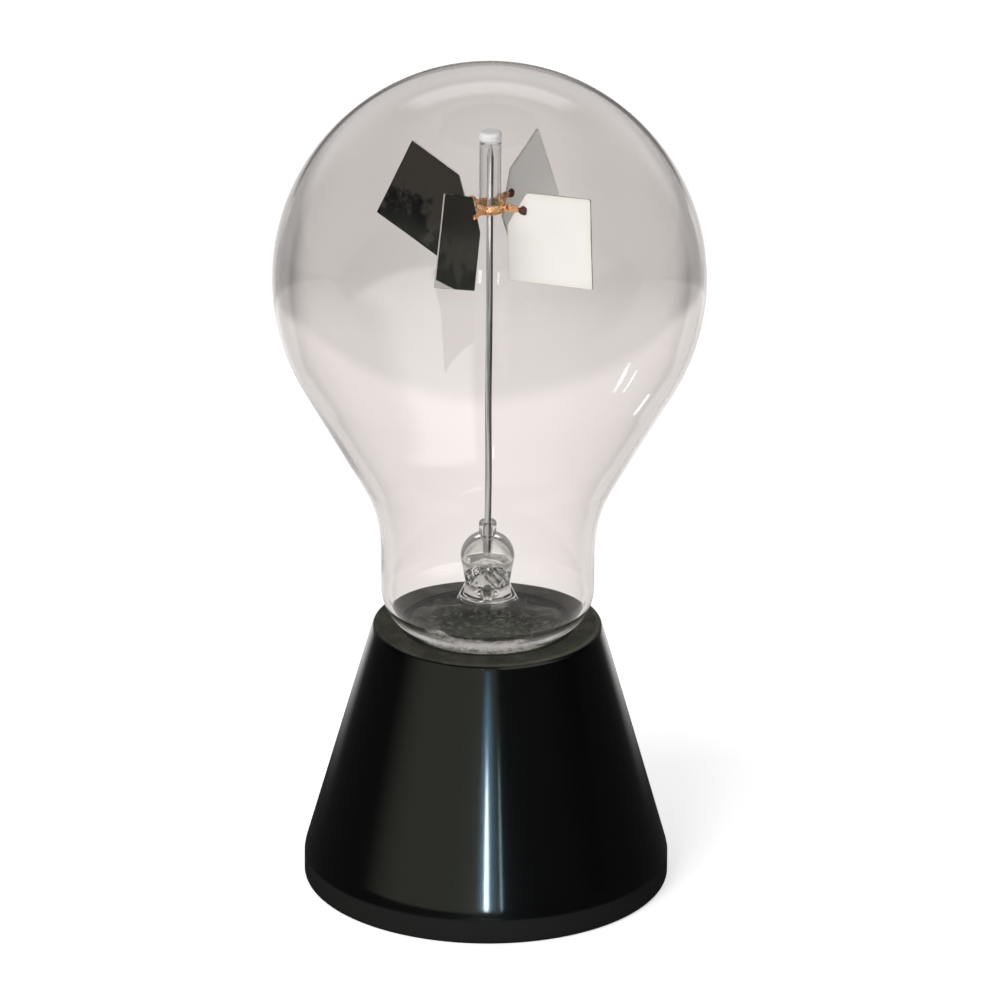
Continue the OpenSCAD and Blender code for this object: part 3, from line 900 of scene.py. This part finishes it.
def arm_frame(i):
    """The arm's own directions on the rotor: outwards, across towards the soot, and up."""
    v = VANES[i]
    turn = math.radians(FIRST_ARM + 90 * i + v["swing"])
    lean = math.radians(-v["lean"])
    out = np.array([math.cos(turn), math.sin(turn), 0])
    level = np.array([-math.sin(turn), math.cos(turn), 0])
    up = np.array([0.0, 0.0, 1.0])
    across = level * math.cos(lean) + up * math.sin(lean)
    upright = up * math.cos(lean) - level * math.sin(lean)
    return out, across, upright


def on_arm(i, points):
    """Points given as (out, across, up) about the arm, in their place on the rotor."""
    out, across, upright = arm_frame(i)
    points = np.asarray(points, float)
    return points[:, :1] * out + points[:, 1:2] * across + points[:, 2:3] * upright + np.array([0, 0, ARM_Z])


def vane_outline(i, bare):
    """Corners of a vane about its grip: a square with its held corner cut off, turned on by the hang.

    Where bare is asked for and the vane has such a corner, the soot leaves the far corner free too.
    """
    v = VANES[i]
    root2 = math.sqrt(2)
    above = v["above"]
    half = VANE_SIDE / root2
    corner_x = -CLIP_LAP - root2 * above * CUT_BELOW / (above + CUT_BELOW)
    outer = [(2 * half, 0.0)]
    if bare and v["bare"]:
        up, along = v["bare"]
        outer = [(2 * half - along / root2, -along / root2), (2 * half - up / root2, up / root2)]
    corners = [(CUT_BELOW / root2, -CUT_BELOW / root2), (half, -half), *outer, (half, half)]
    corners.append((above / root2, above / root2))
    x, z = (np.array(corners) + [corner_x, 0]).T
    hang = math.radians(-v["hang"])
    cos, sin = math.cos(hang), math.sin(hang)
    return np.stack([x * cos - z * sin, x * sin + z * cos], 1)


def hand_cut(corners, corner_r, waver, seed):
    """The outline as even points: straight sides, corners rounded by a running mean, wavering edges.

    Each point moves inwards by waver times 1 less a sum of sines of the way along.
    """
    rng = np.random.default_rng(seed)
    loop = np.concatenate([corners, corners[:1]])
    along = np.concatenate([[0], np.cumsum(np.linalg.norm(np.diff(loop, axis=0), axis=1))])
    whole = along[-1]
    finer = 8
    fine = OUTLINE_POINTS * finer
    wanted = np.arange(fine) * whole / fine
    line = np.stack([np.interp(wanted, along, loop[:, k]) for k in range(2)], 1)
    width = max(int(corner_r / (whole / fine)), 1)
    kernel = np.hanning(2 * width + 3)[1:-1]
    kernel /= kernel.sum()
    padded = np.concatenate([line[-width:], line, line[:width]])
    line = np.stack([np.convolve(padded[:, k], kernel, "valid") for k in range(2)], 1)[:fine]
    tangent = np.roll(line, -1, 0) - np.roll(line, 1, 0)
    normal = np.stack([tangent[:, 1], -tangent[:, 0]], 1)
    normal /= np.linalg.norm(normal, axis=1, keepdims=True) + 1e-12
    phase = rng.uniform(0, 2 * np.pi, 9)
    turn = wanted / whole * 2 * np.pi
    waves = sum(np.sin(turn * k + p) / k**0.7 for k, p in zip(range(5, 50, 5), phase))
    line = line + normal * (waver * (waves / 2.5 - 1))[:, None]
    return line[::finer]


def warp(i, x, z):
    """How far a vane's sheet bows out of its plane, from the grip outwards, in millimetres."""
    far = np.clip(x / 18, 0, 1)
    return BOW[i] * (far**2 * 2 + 0.6 * far * np.sin(z * 0.35 + i))


def sheet_surface(i, outline, under, over):
    """A thin sheet: rings that grow from its middle to its outline on one face, round the edge, and back.

    Ring s is middle + s (outline - middle); both faces bow by warp. Gives the points, faces and each point's
    distance to the edge.
    """
    middle = outline.mean(0)
    face = np.linspace(0, 1, SHEET_ROWS) ** 0.8 * 0.985
    s = np.concatenate([face, [0.9965, 1.0, 1.0, 0.9965], face[::-1]])
    inset = (over - under) * 0.2
    low = np.full(SHEET_ROWS + 1, under)
    high = np.full(SHEET_ROWS + 1, over)
    y = np.concatenate([low, [under + inset, over - inset], high])
    flat = middle + s[:, None, None] * (outline - middle)
    x = flat[..., 0]
    z = flat[..., 1]
    across = y[:, None] + warp(i, x, z)
    local = np.stack([x, across, z], -1).reshape(-1, 3)
    reach = np.linalg.norm(outline - middle, axis=1)
    edge = ((1 - s)[:, None] * reach[None]).reshape(-1)
    return local, grid_faces(len(s), len(outline), closed_cols=True), edge


def arm_surfaces(i):
    """Strip, rolled eye and the two jaws of the clip, each a rounded rectangle carried along its path."""
    v = VANES[i]
    x = np.linspace(COLLAR_R - 0.25, EYE_X - 0.45, 10)
    share = (x - x[0]) / (EYE_X - x[0])
    strip = np.stack([x, 0 * x, 0.06 * np.sin(share * 3)], 1)
    parts = [swept(strip, (0, 1, 0), (0, 0, 1), ARM_W / 2 + (EYE_W - ARM_W) / 2 * share, ARM_T / 2, 0.35, 24)]
    t = np.arange(40) * 2 * np.pi / 40
    mid = (EYE_R + EYE_BORE_R) / 2
    ring = np.stack([EYE_X + mid * np.cos(t), 0 * t, mid * np.sin(t)], 1)
    outwards = np.stack([np.cos(t), 0 * t, np.sin(t)], 1)
    parts.append(swept(ring, (0, 1, 0), outwards, EYE_W / 2, (EYE_R - EYE_BORE_R) / 2, 0.35, closed=True))
    end = v["reach"] + 0.4
    slot_low = -VANE_T / 2 - GRIP_GAP
    slot_high = VANE_T / 2 + COAT_T + GRIP_GAP
    for low, high in ((slot_low - JAW_T, slot_low), (slot_high, slot_high + JAW_T)):
        x = np.linspace(EYE_X + 0.35, end, 16)
        share = (x - x[0]) / (end - x[0])
        y = (low + high) / 2 + 0 * x
        jaw = np.stack([x, y, 0 * x], 1)
        tall = CLIP_H / 2 * (1 - 0.15 * share**4)
        parts.append(swept(jaw, (0, 1, 0), (0, 0, 1), JAW_T / 2, tall, 0.3))
    root_end = v["reach"] - CLIP_LAP - 2 * JAW_T
    x = np.linspace(EYE_X + 0.3, root_end, 4)
    root = np.stack([x, 0 * x + (slot_low + slot_high) / 2, 0 * x], 1)
    thick = (slot_high - slot_low) / 2 + JAW_T * 0.6
    parts.append(swept(root, (0, 1, 0), (0, 0, 1), thick, CLIP_H / 2, 0.3))
    points, faces = joined(parts)
    return on_arm(i, points), faces


def bead_surface(i):
    """A drop of cement over the jaw: a lumpy sphere, cut flat by the vane's white face."""
    v = VANES[i]
    rng = np.random.default_rng(BEAD_SEED + i)
    phase = rng.uniform(0, 6.3, 4)
    u = np.linspace(0, np.pi, 28)[:, None]
    w = (np.arange(40) * 2 * np.pi / 40)[None]
    lump = (
        1
        + 0.07 * np.sin(3 * w + phase[0]) * np.sin(u)
        + 0.06 * np.sin(2 * u + phase[1])
        + 0.05 * np.sin(5 * w + phase[2]) * np.sin(u) ** 2
    )
    x = BEAD_R * lump * np.sin(u) * np.cos(w)
    z = BEAD_R * lump * np.sin(u) * np.sin(w)
    y = BEAD_R * lump * np.cos(u)
    face = -VANE_T / 2 - 0.02
    local = np.stack([v["reach"] + x, np.minimum(face + y * 0.95, face), z], -1).reshape(-1, 3)
    return on_arm(i, local), grid_faces(28, 40, closed_cols=True)


def collar_surface():
    """The copper collar: a ring tapered at its foot and rounded at its edges, a little out of round."""
    low = CAP_Z + 0.1
    high = low + 1.7
    profile = np.concatenate(
        [
            even([[COLLAR_BORE_R, high - 0.1], [COLLAR_BORE_R, low + 0.1]], 0.3),
            [[COLLAR_BORE_R + 0.08, low + 0.02], [COLLAR_R - 0.45, low], [COLLAR_R - 0.33, low + 0.06]],
            even([[COLLAR_R - 0.27, low + 0.2], [COLLAR_R - 0.03, low + 0.6]], 0.15),
            even([[COLLAR_R, low + 0.75], [COLLAR_R, high - 0.2]], 0.25),
            arc((COLLAR_R - 0.15, high - 0.15), 0.15, 10, 90, 6),
            [[COLLAR_BORE_R + 0.1, high], [COLLAR_BORE_R, high - 0.1]],
        ]
    )

    def uneven(r, z, t):
        """Hammered a little inwards, on the outside only."""
        return np.where(r > COLLAR_BORE_R + 0.3, -0.04 * (1 + np.sin(3 * t + z)), 0)

    return revolved(profile, HUB_ROUND, uneven)


def needle_surface():
    """The needle: a rod with a rounded lower end and a long ground point."""
    profile = np.concatenate(
        [
            [[0, NEEDLE_Z + 0.04], [NEEDLE_R - 0.1, NEEDLE_Z + 0.04], [NEEDLE_R, NEEDLE_Z + 0.15]],
            even([[NEEDLE_R, NEEDLE_Z + 0.6], [NEEDLE_R, POINT_Z - 3.2]], 1.0),
            even([[NEEDLE_R - 0.01, POINT_Z - 3.1], [0.09, POINT_Z - 0.06]], 0.3),
            [[0.05, POINT_Z - 0.01], [0, POINT_Z]],
        ]
    )
    return revolved(profile, NEEDLE_ROUND)


# Settings that a user would change


def colour_setting(name, description, default):
    """A colour in the panel."""
    return bpy.props.FloatVectorProperty(
        name=name, description=description, subtype="COLOR", default=default
    )


class GlassSettings(bpy.types.PropertyGroup):
    """Glass of the bulb, stem and cap."""

    bulb_tint: colour_setting("Bulb tint", "Colour of the bulb's glass", (0.985, 0.975, 0.97))
    stem_tint: colour_setting("Stem tint", "Colour of the stem's glass", (0.97, 0.98, 0.955))
    cap_tint: colour_setting("Cap tint", "Colour of the cap's glass", (1.0, 1.0, 0.99))
    ior: bpy.props.FloatProperty(name="IOR", description="How much the glass bends light", default=1.48)


class BaseSettings(bpy.types.PropertyGroup):
    """The moulded base and its cement."""

    base_colour: colour_setting("Base colour", "Colour of the moulding", (0.0009, 0.0011, 0.0011))


class RotorSettings(bpy.types.PropertyGroup):
    """Vanes, soot and copper."""

    white_colour: colour_setting("Vane white", "Colour of the vanes' bare side", (0.94, 0.915, 0.875))
    soot_colour: colour_setting("Soot", "Colour of the coat where it is thin", (0.037, 0.033, 0.028))
    copper_colour: colour_setting("Copper", "Colour of collar and arms", (1.0, 0.5, 0.24))


class StudioSettings(bpy.types.PropertyGroup):
    """Floor, lamps and camera."""

    lens: bpy.props.FloatProperty(name="Lens", description="Focal length in millimetres", default=394.3)
    elevation: bpy.props.FloatProperty(
        name="Elevation",
        description="How far the camera looks down",
        subtype="ANGLE",
        default=math.radians(22),
    )
    distance: bpy.props.FloatProperty(
        name="Distance", description="From the camera to the aim", unit="LENGTH", default=1.9
    )


# Operators, one for each piece or group of like pieces


class RADIO_OT_base(bpy.types.Operator):
    """Make the moulded black base"""

    bl_idname = "radiometer.base"
    bl_label = "Base"

    def execute(self, context):
        finish = moulded_black(context.scene.radio_base)
        piece_from("black_base", base_surfaces(), finish, "base", ["base_shell"])
        return {"FINISHED"}


class RADIO_OT_cement(bpy.types.Operator):
    """Make the cement ring in which the bulb sits"""

    bl_idname = "radiometer.cement"
    bl_label = "Seat cement"

    def execute(self, context):
        piece_from(
            "cement_ring", cement_ring_surface(), seat_cement_finish(), "base", ["seat_cement"]
        )
        return {"FINISHED"}


class RADIO_OT_bulb(bpy.types.Operator):
    """Make the blown bulb, which turns in at its bottom to the skirt of the stem"""

    bl_idname = "radiometer.bulb"
    bl_label = "Bulb"

    def execute(self, context):
        settings = context.scene.radio_glass
        finish = glass_finish("bulb_glass_clear", settings.bulb_tint, settings.ior)
        piece_from("blown_bulb", bulb_surface(), finish, "base", ["glass_bulb", "stem_skirt"])
        return {"FINISHED"}


class RADIO_OT_stem(bpy.types.Operator):
    """Make the hollow ball with the needle's socket, and the exhaust tube under it"""

    bl_idname = "radiometer.stem"
    bl_label = "Stem"

    def execute(self, context):
        settings = context.scene.radio_glass
        finish = glass_finish("stem_glass_clear", settings.stem_tint, settings.ior)
        piece_from("blown_ball", ball_surfaces(), finish, "base", ["stem_ball", "needle_seal"])
        piece_from("drawn_tube", exhaust_surface(), finish, "base", ["exhaust_tube"])
        return {"FINISHED"}


class RADIO_OT_needle(bpy.types.Operator):
    """Make the steel needle"""

    bl_idname = "radiometer.needle"
    bl_label = "Needle"

    def execute(self, context):
        piece_from("steel_needle", needle_surface(), needle_steel(), "base", ["needle"])
        return {"FINISHED"}


class RADIO_OT_cap(bpy.types.Operator):
    """Make the glass bearing cap"""

    bl_idname = "radiometer.cap"
    bl_label = "Bearing cap"

    def execute(self, context):
        settings = context.scene.radio_glass
        tip = (CAP_TOP_Z - TIP_CLOUDED) * MM
        finish = glass_finish("cap_glass_clear", settings.cap_tint, settings.ior, tip)
        piece_from("glass_cap", cap_surface(), finish, "rotor", ["bearing_cap"])
        return {"FINISHED"}


class RADIO_OT_hub(bpy.types.Operator):
    """Make the copper collar and the four arms with their eyes and clips"""

    bl_idname = "radiometer.hub"
    bl_label = "Hub and arms"

    def execute(self, context):
        finish = rotor_copper(context.scene.radio_rotor)
        piece_from("copper_collar", collar_surface(), finish, "rotor", ["hub_collar"], outward=True)
        for i in range(4):
            name = f"arm_{i + 1}"
            piece_from(f"copper_{name}", arm_surfaces(i), finish, "rotor", [name], outward=True)
        return {"FINISHED"}


class RADIO_OT_beads(bpy.types.Operator):
    """Make the four beads of cement on the clips"""

    bl_idname = "radiometer.beads"
    bl_label = "Beads"

    def execute(self, context):
        finish = bead_finish()
        for i in range(4):
            node = f"cement_{i + 1}"
            piece_from(f"bead_{i + 1}", bead_surface(i), finish, "rotor", [node], outward=True)
        return {"FINISHED"}


class RADIO_OT_vanes(bpy.types.Operator):
    """Make the four vanes and the soot on each"""

    bl_idname = "radiometer.vanes"
    bl_label = "Vanes"

    def execute(self, context):
        settings = context.scene.radio_rotor
        white = vane_white_finish(settings)
        soot = lampblack_finish(settings)
        face = VANE_T / 2
        for i in range(4):
            reach = np.array([VANES[i]["reach"], 0, 0])

            def layer(name, node, finish, cut, under, over):
                """One sheet, with each point's distance to the edge and how low and far out it lies."""
                local, faces, edge = sheet_surface(i, cut, under, over)
                x, _, z = local.T
                low = -(z - z.mean()) / 10 + (x - x.mean()) / 16
                piece_from(
                    f"{name}_{i + 1}",
                    (on_arm(i, local + reach), faces),
                    finish,
                    "rotor",
                    [f"{node}_{i + 1}"],
                    outward=True,
                    attributes={"edge_mm": edge, "low": low},
                )

            cut = hand_cut(vane_outline(i, False), CORNER_R[i], SHEET_WAVER, SHEET_SEED + i)
            layer("sheet", "vane", white, cut, -face, face)
            cut = hand_cut(vane_outline(i, True), CORNER_R[i], SOOT_WAVER, SOOT_SEED + i)
            layer("soot", "lampblack", soot, cut, face + 0.005, face + COAT_T)
        return {"FINISHED"}


# Floor, lamps and camera

FLOOR_HALF = 4.0

# The large lamp
KEY_PLACE = (-0.9, -1.3, 1.0)
KEY_AIM = (0, 0, 0.1)
KEY_SIZE = (1.2, 1.2)
KEY_WATTS = 24

# Tall strips in front of the base: x, z, size, level, colour
STRIP_SHARE = 0.02
STRIP_Y = -0.46
STRIP_DROP = 8
STRIP_SPREAD = 14
STRIPS = [
    (0.003, 0.045, (0.02, 0.09), 13.5, (0.74, 0.93, 1.0)),
    (0.006, 0.064, (0.1, 0.09), 0.8, (0.2, 0.6, 1.0)),
    (0.076, 0.05, (0.008, 0.085), 3.2, (0.55, 0.87, 1.0)),
]

# The small lamp that lights the collar from inside the bulb
HUB_PLACE = (-0.002, -0.028, 0.1145)
HUB_AIM = (0, 0, 0.1255)
HUB_LAMP_SIZE = (0.0022, 0.0022)
HUB_WATTS = 0.0008
HUB_SPREAD = 40

# Narrow lamps that the bulb mirrors as dashes: place, aim, size, direction of the longer side
DASH_LEVEL = 0.06
DASH_SPREAD = 16
DASHES = [
    ((0.140, -0.0396, 0.015), (0.0227, -0.0286, 0.103), (0.039, 0.0065), (0.66, -0.03, 0.75)),
    ((0.138, -0.0195, 0.012), (0.0227, -0.0286, 0.103), (0.026, 0.0035), (0.66, 0.12, 0.75)),
    ((0.101, 0.031, 0.011), (0.025, -0.0216, 0.094), (0.017, 0.005), (0.35, -0.2, 0.92)),
]

# Where the photograph's frame lies about the object
SENSOR_W = 36
CAMERA_AIM_Z = 0.075
CAMERA_ROLL = 0.35
CAMERA_SHIFT = (0.0117, -0.025)


def along_axis(g, direction, axis):
    """How far a direction goes along an axis, which is made one long."""
    axis = Vector(axis).normalized()
    return g.add("ShaderNodeVectorMath", {"operation": "DOT_PRODUCT"}, {0: direction, 1: tuple(axis)}, out=1)


def soft_box(g, direction, centre, half_a, half_b, soft):
    """1 where a direction lies in a level, upright box on the sky about centre, with soft sides."""
    centre = Vector(centre).normalized()
    level = Vector((0, 0, 1)).cross(centre).normalized()
    upright = centre.cross(level)
    wide = 1 - along_axis(g, direction, level).math("ABSOLUTE").between(half_a - soft, half_a + soft)
    high = 1 - along_axis(g, direction, upright).math("ABSOLUTE").between(half_b - soft, half_b + soft)
    return wide * high * along_axis(g, direction, centre).between(0.0, 0.1)


def window_mask(g, direction):
    """The window's pane as the bulb shows it: right of the camera, over a slanting lower edge."""
    right = along_axis(g, direction, (1, 0, 0))
    up = along_axis(g, direction, (0, 0.375, 0.927))
    back = along_axis(g, direction, (0, -0.927, 0.375))
    pane = right.between(0.12, 0.26) * up.between(-0.2, -0.02) * back.between(-0.1, 0.15)
    _, _, z = g.axes(direction)
    pane = pane * z.between(0.14, 0.24) * (1 - up.between(0.5, 0.95))
    return pane * (1 - (right + up * 0.7).between(0.95, 1.2))


def straight_light(rays):
    """1 for light through glass that no surface mirrored on its way, 0 for the rest."""
    return 1 - (rays["Ray Depth"] - rays["Transmission Depth"]).between(0.2, 0.8)


def world_light():
    """White for the camera, a pale grey backdrop through glass, a studio in reflections, and an even fill."""
    world = bpy.data.worlds.new("studio")
    bpy.context.scene.world = world
    world.use_nodes = True
    g = Graph(world.node_tree)
    rays = g.outputs("ShaderNodeLightPath")
    direction = g.add("ShaderNodeTexCoord")
    x, y, z = g.axes(direction)
    turn = x.math("ARCTAN2", y * -1)
    wall = turn.between(-1.62, -0.95) * (1 - turn.between(0.1, 0.2))
    wall = wall * z.between(-0.12, -0.04) * (1 - z.between(0.55, 0.75))
    behind = y.between(0.35, 0.9) * z.between(-0.05, 0.02) * (1 - z.between(0.5, 0.6))
    above = soft_box(g, direction, (0.0, 0.79, 0.61), 0.36, 0.11, 0.06)
    window = window_mask(g, direction) * rays["Transmission Depth"].between(0.2, 0.8, 0.25, 1.0)
    glint = soft_box(g, direction, (-0.087, -0.93, 0.37), 0.016, 0.06, 0.006)
    mirror = g.mix(wall, (0.005, 0.005, 0.007), (0.48, 0.5, 0.39))
    mirror = g.mix(behind, mirror, (0.16, 0.155, 0.15))
    mirror = g.mix(above, mirror, (1.7, 1.7, 1.67))
    mirror = g.mix(window, mirror, (3.4, 3.3, 3.2))
    mirror = g.mix(glint, mirror, (8.0, 8.0, 8.4))
    ahead = y.between(-0.3, 0.35).math("MAXIMUM", straight_light(rays) * (y * -1).between(0.1, 0.5))
    ahead = ahead * (1 - z.between(0.35, 0.7))
    through = g.mix(ahead, (0.09, 0.092, 0.085), (0.6, 0.575, 0.565))
    colour = g.mix(rays["Is Glossy Ray"], (0.42, 0.42, 0.42), mirror)
    colour = g.mix(rays["Is Transmission Ray"], colour, through)
    colour = g.mix(rays["Is Camera Ray"], colour, (1.0, 1.0, 1.0))
    light = g.add("ShaderNodeBackground", None, {"Color": colour, "Strength": 1.0})
    g.add("ShaderNodeOutputWorld", None, {"Surface": light})


def floor_finish():
    """White paper: white to the camera, with its shadow, and greyer with distance through glass."""

    def build(g):
        here = g.place()
        rays = g.outputs("ShaderNodeLightPath")
        x, y, _ = g.axes(here)
        far, _ = g.cylinder(here)
        aside = x.math("ABSOLUTE")
        slope = (x - 0.002).math("ABSOLUTE").between(0.003, 0.03)
        centre = y.between(0.25, 0.3, 0.83, 0.71) + y.between(0.35, 0.42, 0.0, 0.03)
        edge = y.between(0.25, 0.3, 0.77, 0.63) + y.between(0.35, 0.42, 0.0, 0.05)
        seen = centre + slope * (edge - centre)
        sides = (aside - y * 0.1).between(0.018, 0.038) * y.between(0.245, 0.27)
        seen = seen * (1 - sides * 0.54)
        lift = aside.math("MINIMUM", 0.05)
        near = 1 - (y - lift * lift * 13).between(0.217, 0.231)
        seen = seen + near * (0.98 - slope * 0.06 - seen)
        seen = seen * y.between(-0.3, -0.1, 0.12, 1.0).math("MAXIMUM", straight_light(rays))
        seen = g.mix(seen, (0, 0, 0), (1.0, 0.946, 0.923))
        bright = 1 - (aside - y * 0.6).between(-0.03, 0.055)
        bright = bright * far.between(0.06, 0.16)
        bright = bright * y.between(-0.17, -0.13) * (1 - y.between(0.5, 0.9))
        bounced = g.mix(bright, (0.03, 0.03, 0.03), (1.05, 1.02, 1.0))
        paper = g.principled(Base_Color=(0.9, 0.9, 0.9), Roughness=0.9, Specular_IOR_Level=0.1)
        white = g.add("ShaderNodeAddShader", None, {0: paper, 1: g.shining((1.0, 1.0, 1.0), 0.55)})
        shader = g.blend(rays["Is Glossy Ray"], paper, g.shining(bounced))
        shader = g.blend(rays["Is Transmission Ray"], shader, g.shining(seen))
        return g.blend(rays["Is Camera Ray"], shader, white)

    return material("floor_paper", build)


def lamp(name, place, aim, size, watts, colour=(1, 1, 1), shape="RECTANGLE", spread=180, along=(1, 0, 0)):
    """A flat lamp at a place that shines towards its aim, within a cone of spread degrees.

    Its longer side, size[0], lies as near to the direction along as it can.
    """
    data = bpy.data.lights.new(name, "AREA")
    data.shape = shape
    data.spread = math.radians(spread)
    data.size, data.size_y = size
    data.energy = watts
    data.color = colour
    made = bpy.data.objects.new(name, data)
    bpy.context.scene.collection.objects.link(made)
    back = (Vector(place) - Vector(aim)).normalized()
    side = (Vector(along) - back * back.dot(Vector(along))).normalized()
    turned = Matrix((side, back.cross(side), back)).transposed().to_4x4()
    made.matrix_world = Matrix.Translation(place) @ turned
    made.visible_camera = False
    made.visible_transmission = False
    return made


class RADIO_OT_stage(bpy.types.Operator):
    """Make the floor, the lamps and the camera"""

    bl_idname = "radiometer.stage"
    bl_label = "Stage"

    def execute(self, context):
        scene = context.scene
        settings = scene.radio_studio
        scene.view_settings.view_transform = "Standard"
        world_light()
        mesh = bpy.data.meshes.new("floor")
        corners = [(x * FLOOR_HALF, y * FLOOR_HALF, 0) for x, y in ((-1, -1), (1, -1), (1, 1), (-1, 1))]
        mesh.from_pydata(corners, [], [(0, 1, 2, 3)])
        mesh.materials.append(floor_finish())
        floor = bpy.data.objects.new("floor", mesh)
        scene.collection.objects.link(floor)
        key = lamp("key", KEY_PLACE, KEY_AIM, KEY_SIZE, KEY_WATTS)
        key.visible_glossy = False
        for k, (x, z, size, level, colour) in enumerate(STRIPS):
            watts = math.pi * size[0] * size[1] * level * STRIP_SHARE
            spot = (x * 0.1, 0.0, z + STRIP_Y * math.tan(math.radians(STRIP_DROP)))
            made = lamp(f"strip_{k + 1}", (x, STRIP_Y, z), spot, size, watts, colour, "ELLIPSE", STRIP_SPREAD)
            made.visible_diffuse = False
        hub = lamp("hub_light", HUB_PLACE, HUB_AIM, HUB_LAMP_SIZE, HUB_WATTS, spread=HUB_SPREAD)
        hub.visible_diffuse = False
        for k, (place, spot, size, along) in enumerate(DASHES):
            watts = math.pi * size[0] * size[1] * DASH_LEVEL
            made = lamp(f"dash_{k + 1}", place, spot, size, watts, spread=DASH_SPREAD, along=along)
            made.visible_diffuse = False

        data = bpy.data.cameras.new("camera")
        data.sensor_width = SENSOR_W
        data.lens = settings.lens
        data.shift_x, data.shift_y = CAMERA_SHIFT
        camera = bpy.data.objects.new("camera", data)
        scene.collection.objects.link(camera)
        back = settings.distance * math.cos(settings.elevation)
        rise = settings.distance * math.sin(settings.elevation)
        camera.matrix_world = (
            Matrix.Translation((0, -back, CAMERA_AIM_Z + rise))
            @ Matrix.Rotation(math.pi / 2 - settings.elevation, 4, "X")
            @ Matrix.Rotation(math.radians(CAMERA_ROLL), 4, "Z")
        )
        scene.camera = camera
        return {"FINISHED"}


MAKERS = [
    RADIO_OT_stage,
    RADIO_OT_base,
    RADIO_OT_cement,
    RADIO_OT_bulb,
    RADIO_OT_stem,
    RADIO_OT_needle,
    RADIO_OT_cap,
    RADIO_OT_hub,
    RADIO_OT_beads,
    RADIO_OT_vanes,
]


class RADIO_PT_panel(bpy.types.Panel):
    """Lists the settings and what makes each piece."""

    bl_label = "Radiometer"
    bl_idname = "RADIO_PT_panel"
    bl_space_type = "VIEW_3D"
    bl_region_type = "UI"
    bl_category = "Radiometer"

    def draw(self, context):
        for group in ("radio_glass", "radio_base", "radio_rotor", "radio_studio"):
            settings = getattr(context.scene, group)
            box = self.layout.box()
            for key in settings.bl_rna.properties.keys():
                if key not in ("rna_type", "name"):
                    box.prop(settings, key)
        for maker in MAKERS:
            self.layout.operator(maker.bl_idname)


SETTINGS = {
    "radio_glass": GlassSettings,
    "radio_base": BaseSettings,
    "radio_rotor": RotorSettings,
    "radio_studio": StudioSettings,
}


def register():
    """Registers the settings, the operators and the panel."""
    for name, group in SETTINGS.items():
        bpy.utils.register_class(group)
        setattr(bpy.types.Scene, name, bpy.props.PointerProperty(type=group))
    for maker in MAKERS:
        bpy.utils.register_class(maker)
    bpy.utils.register_class(RADIO_PT_panel)


def unregister():
    """Takes them out again, in the other order."""
    bpy.utils.unregister_class(RADIO_PT_panel)
    for maker in reversed(MAKERS):
        bpy.utils.unregister_class(maker)
    for name, group in reversed(SETTINGS.items()):
        delattr(bpy.types.Scene, name)
        bpy.utils.unregister_class(group)


def main():
    """Registers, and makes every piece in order."""
    register()
    for maker in MAKERS:
        group, name = maker.bl_idname.split(".")
        getattr(getattr(bpy.ops, group), name)()


if __name__ == "__main__":
    main()
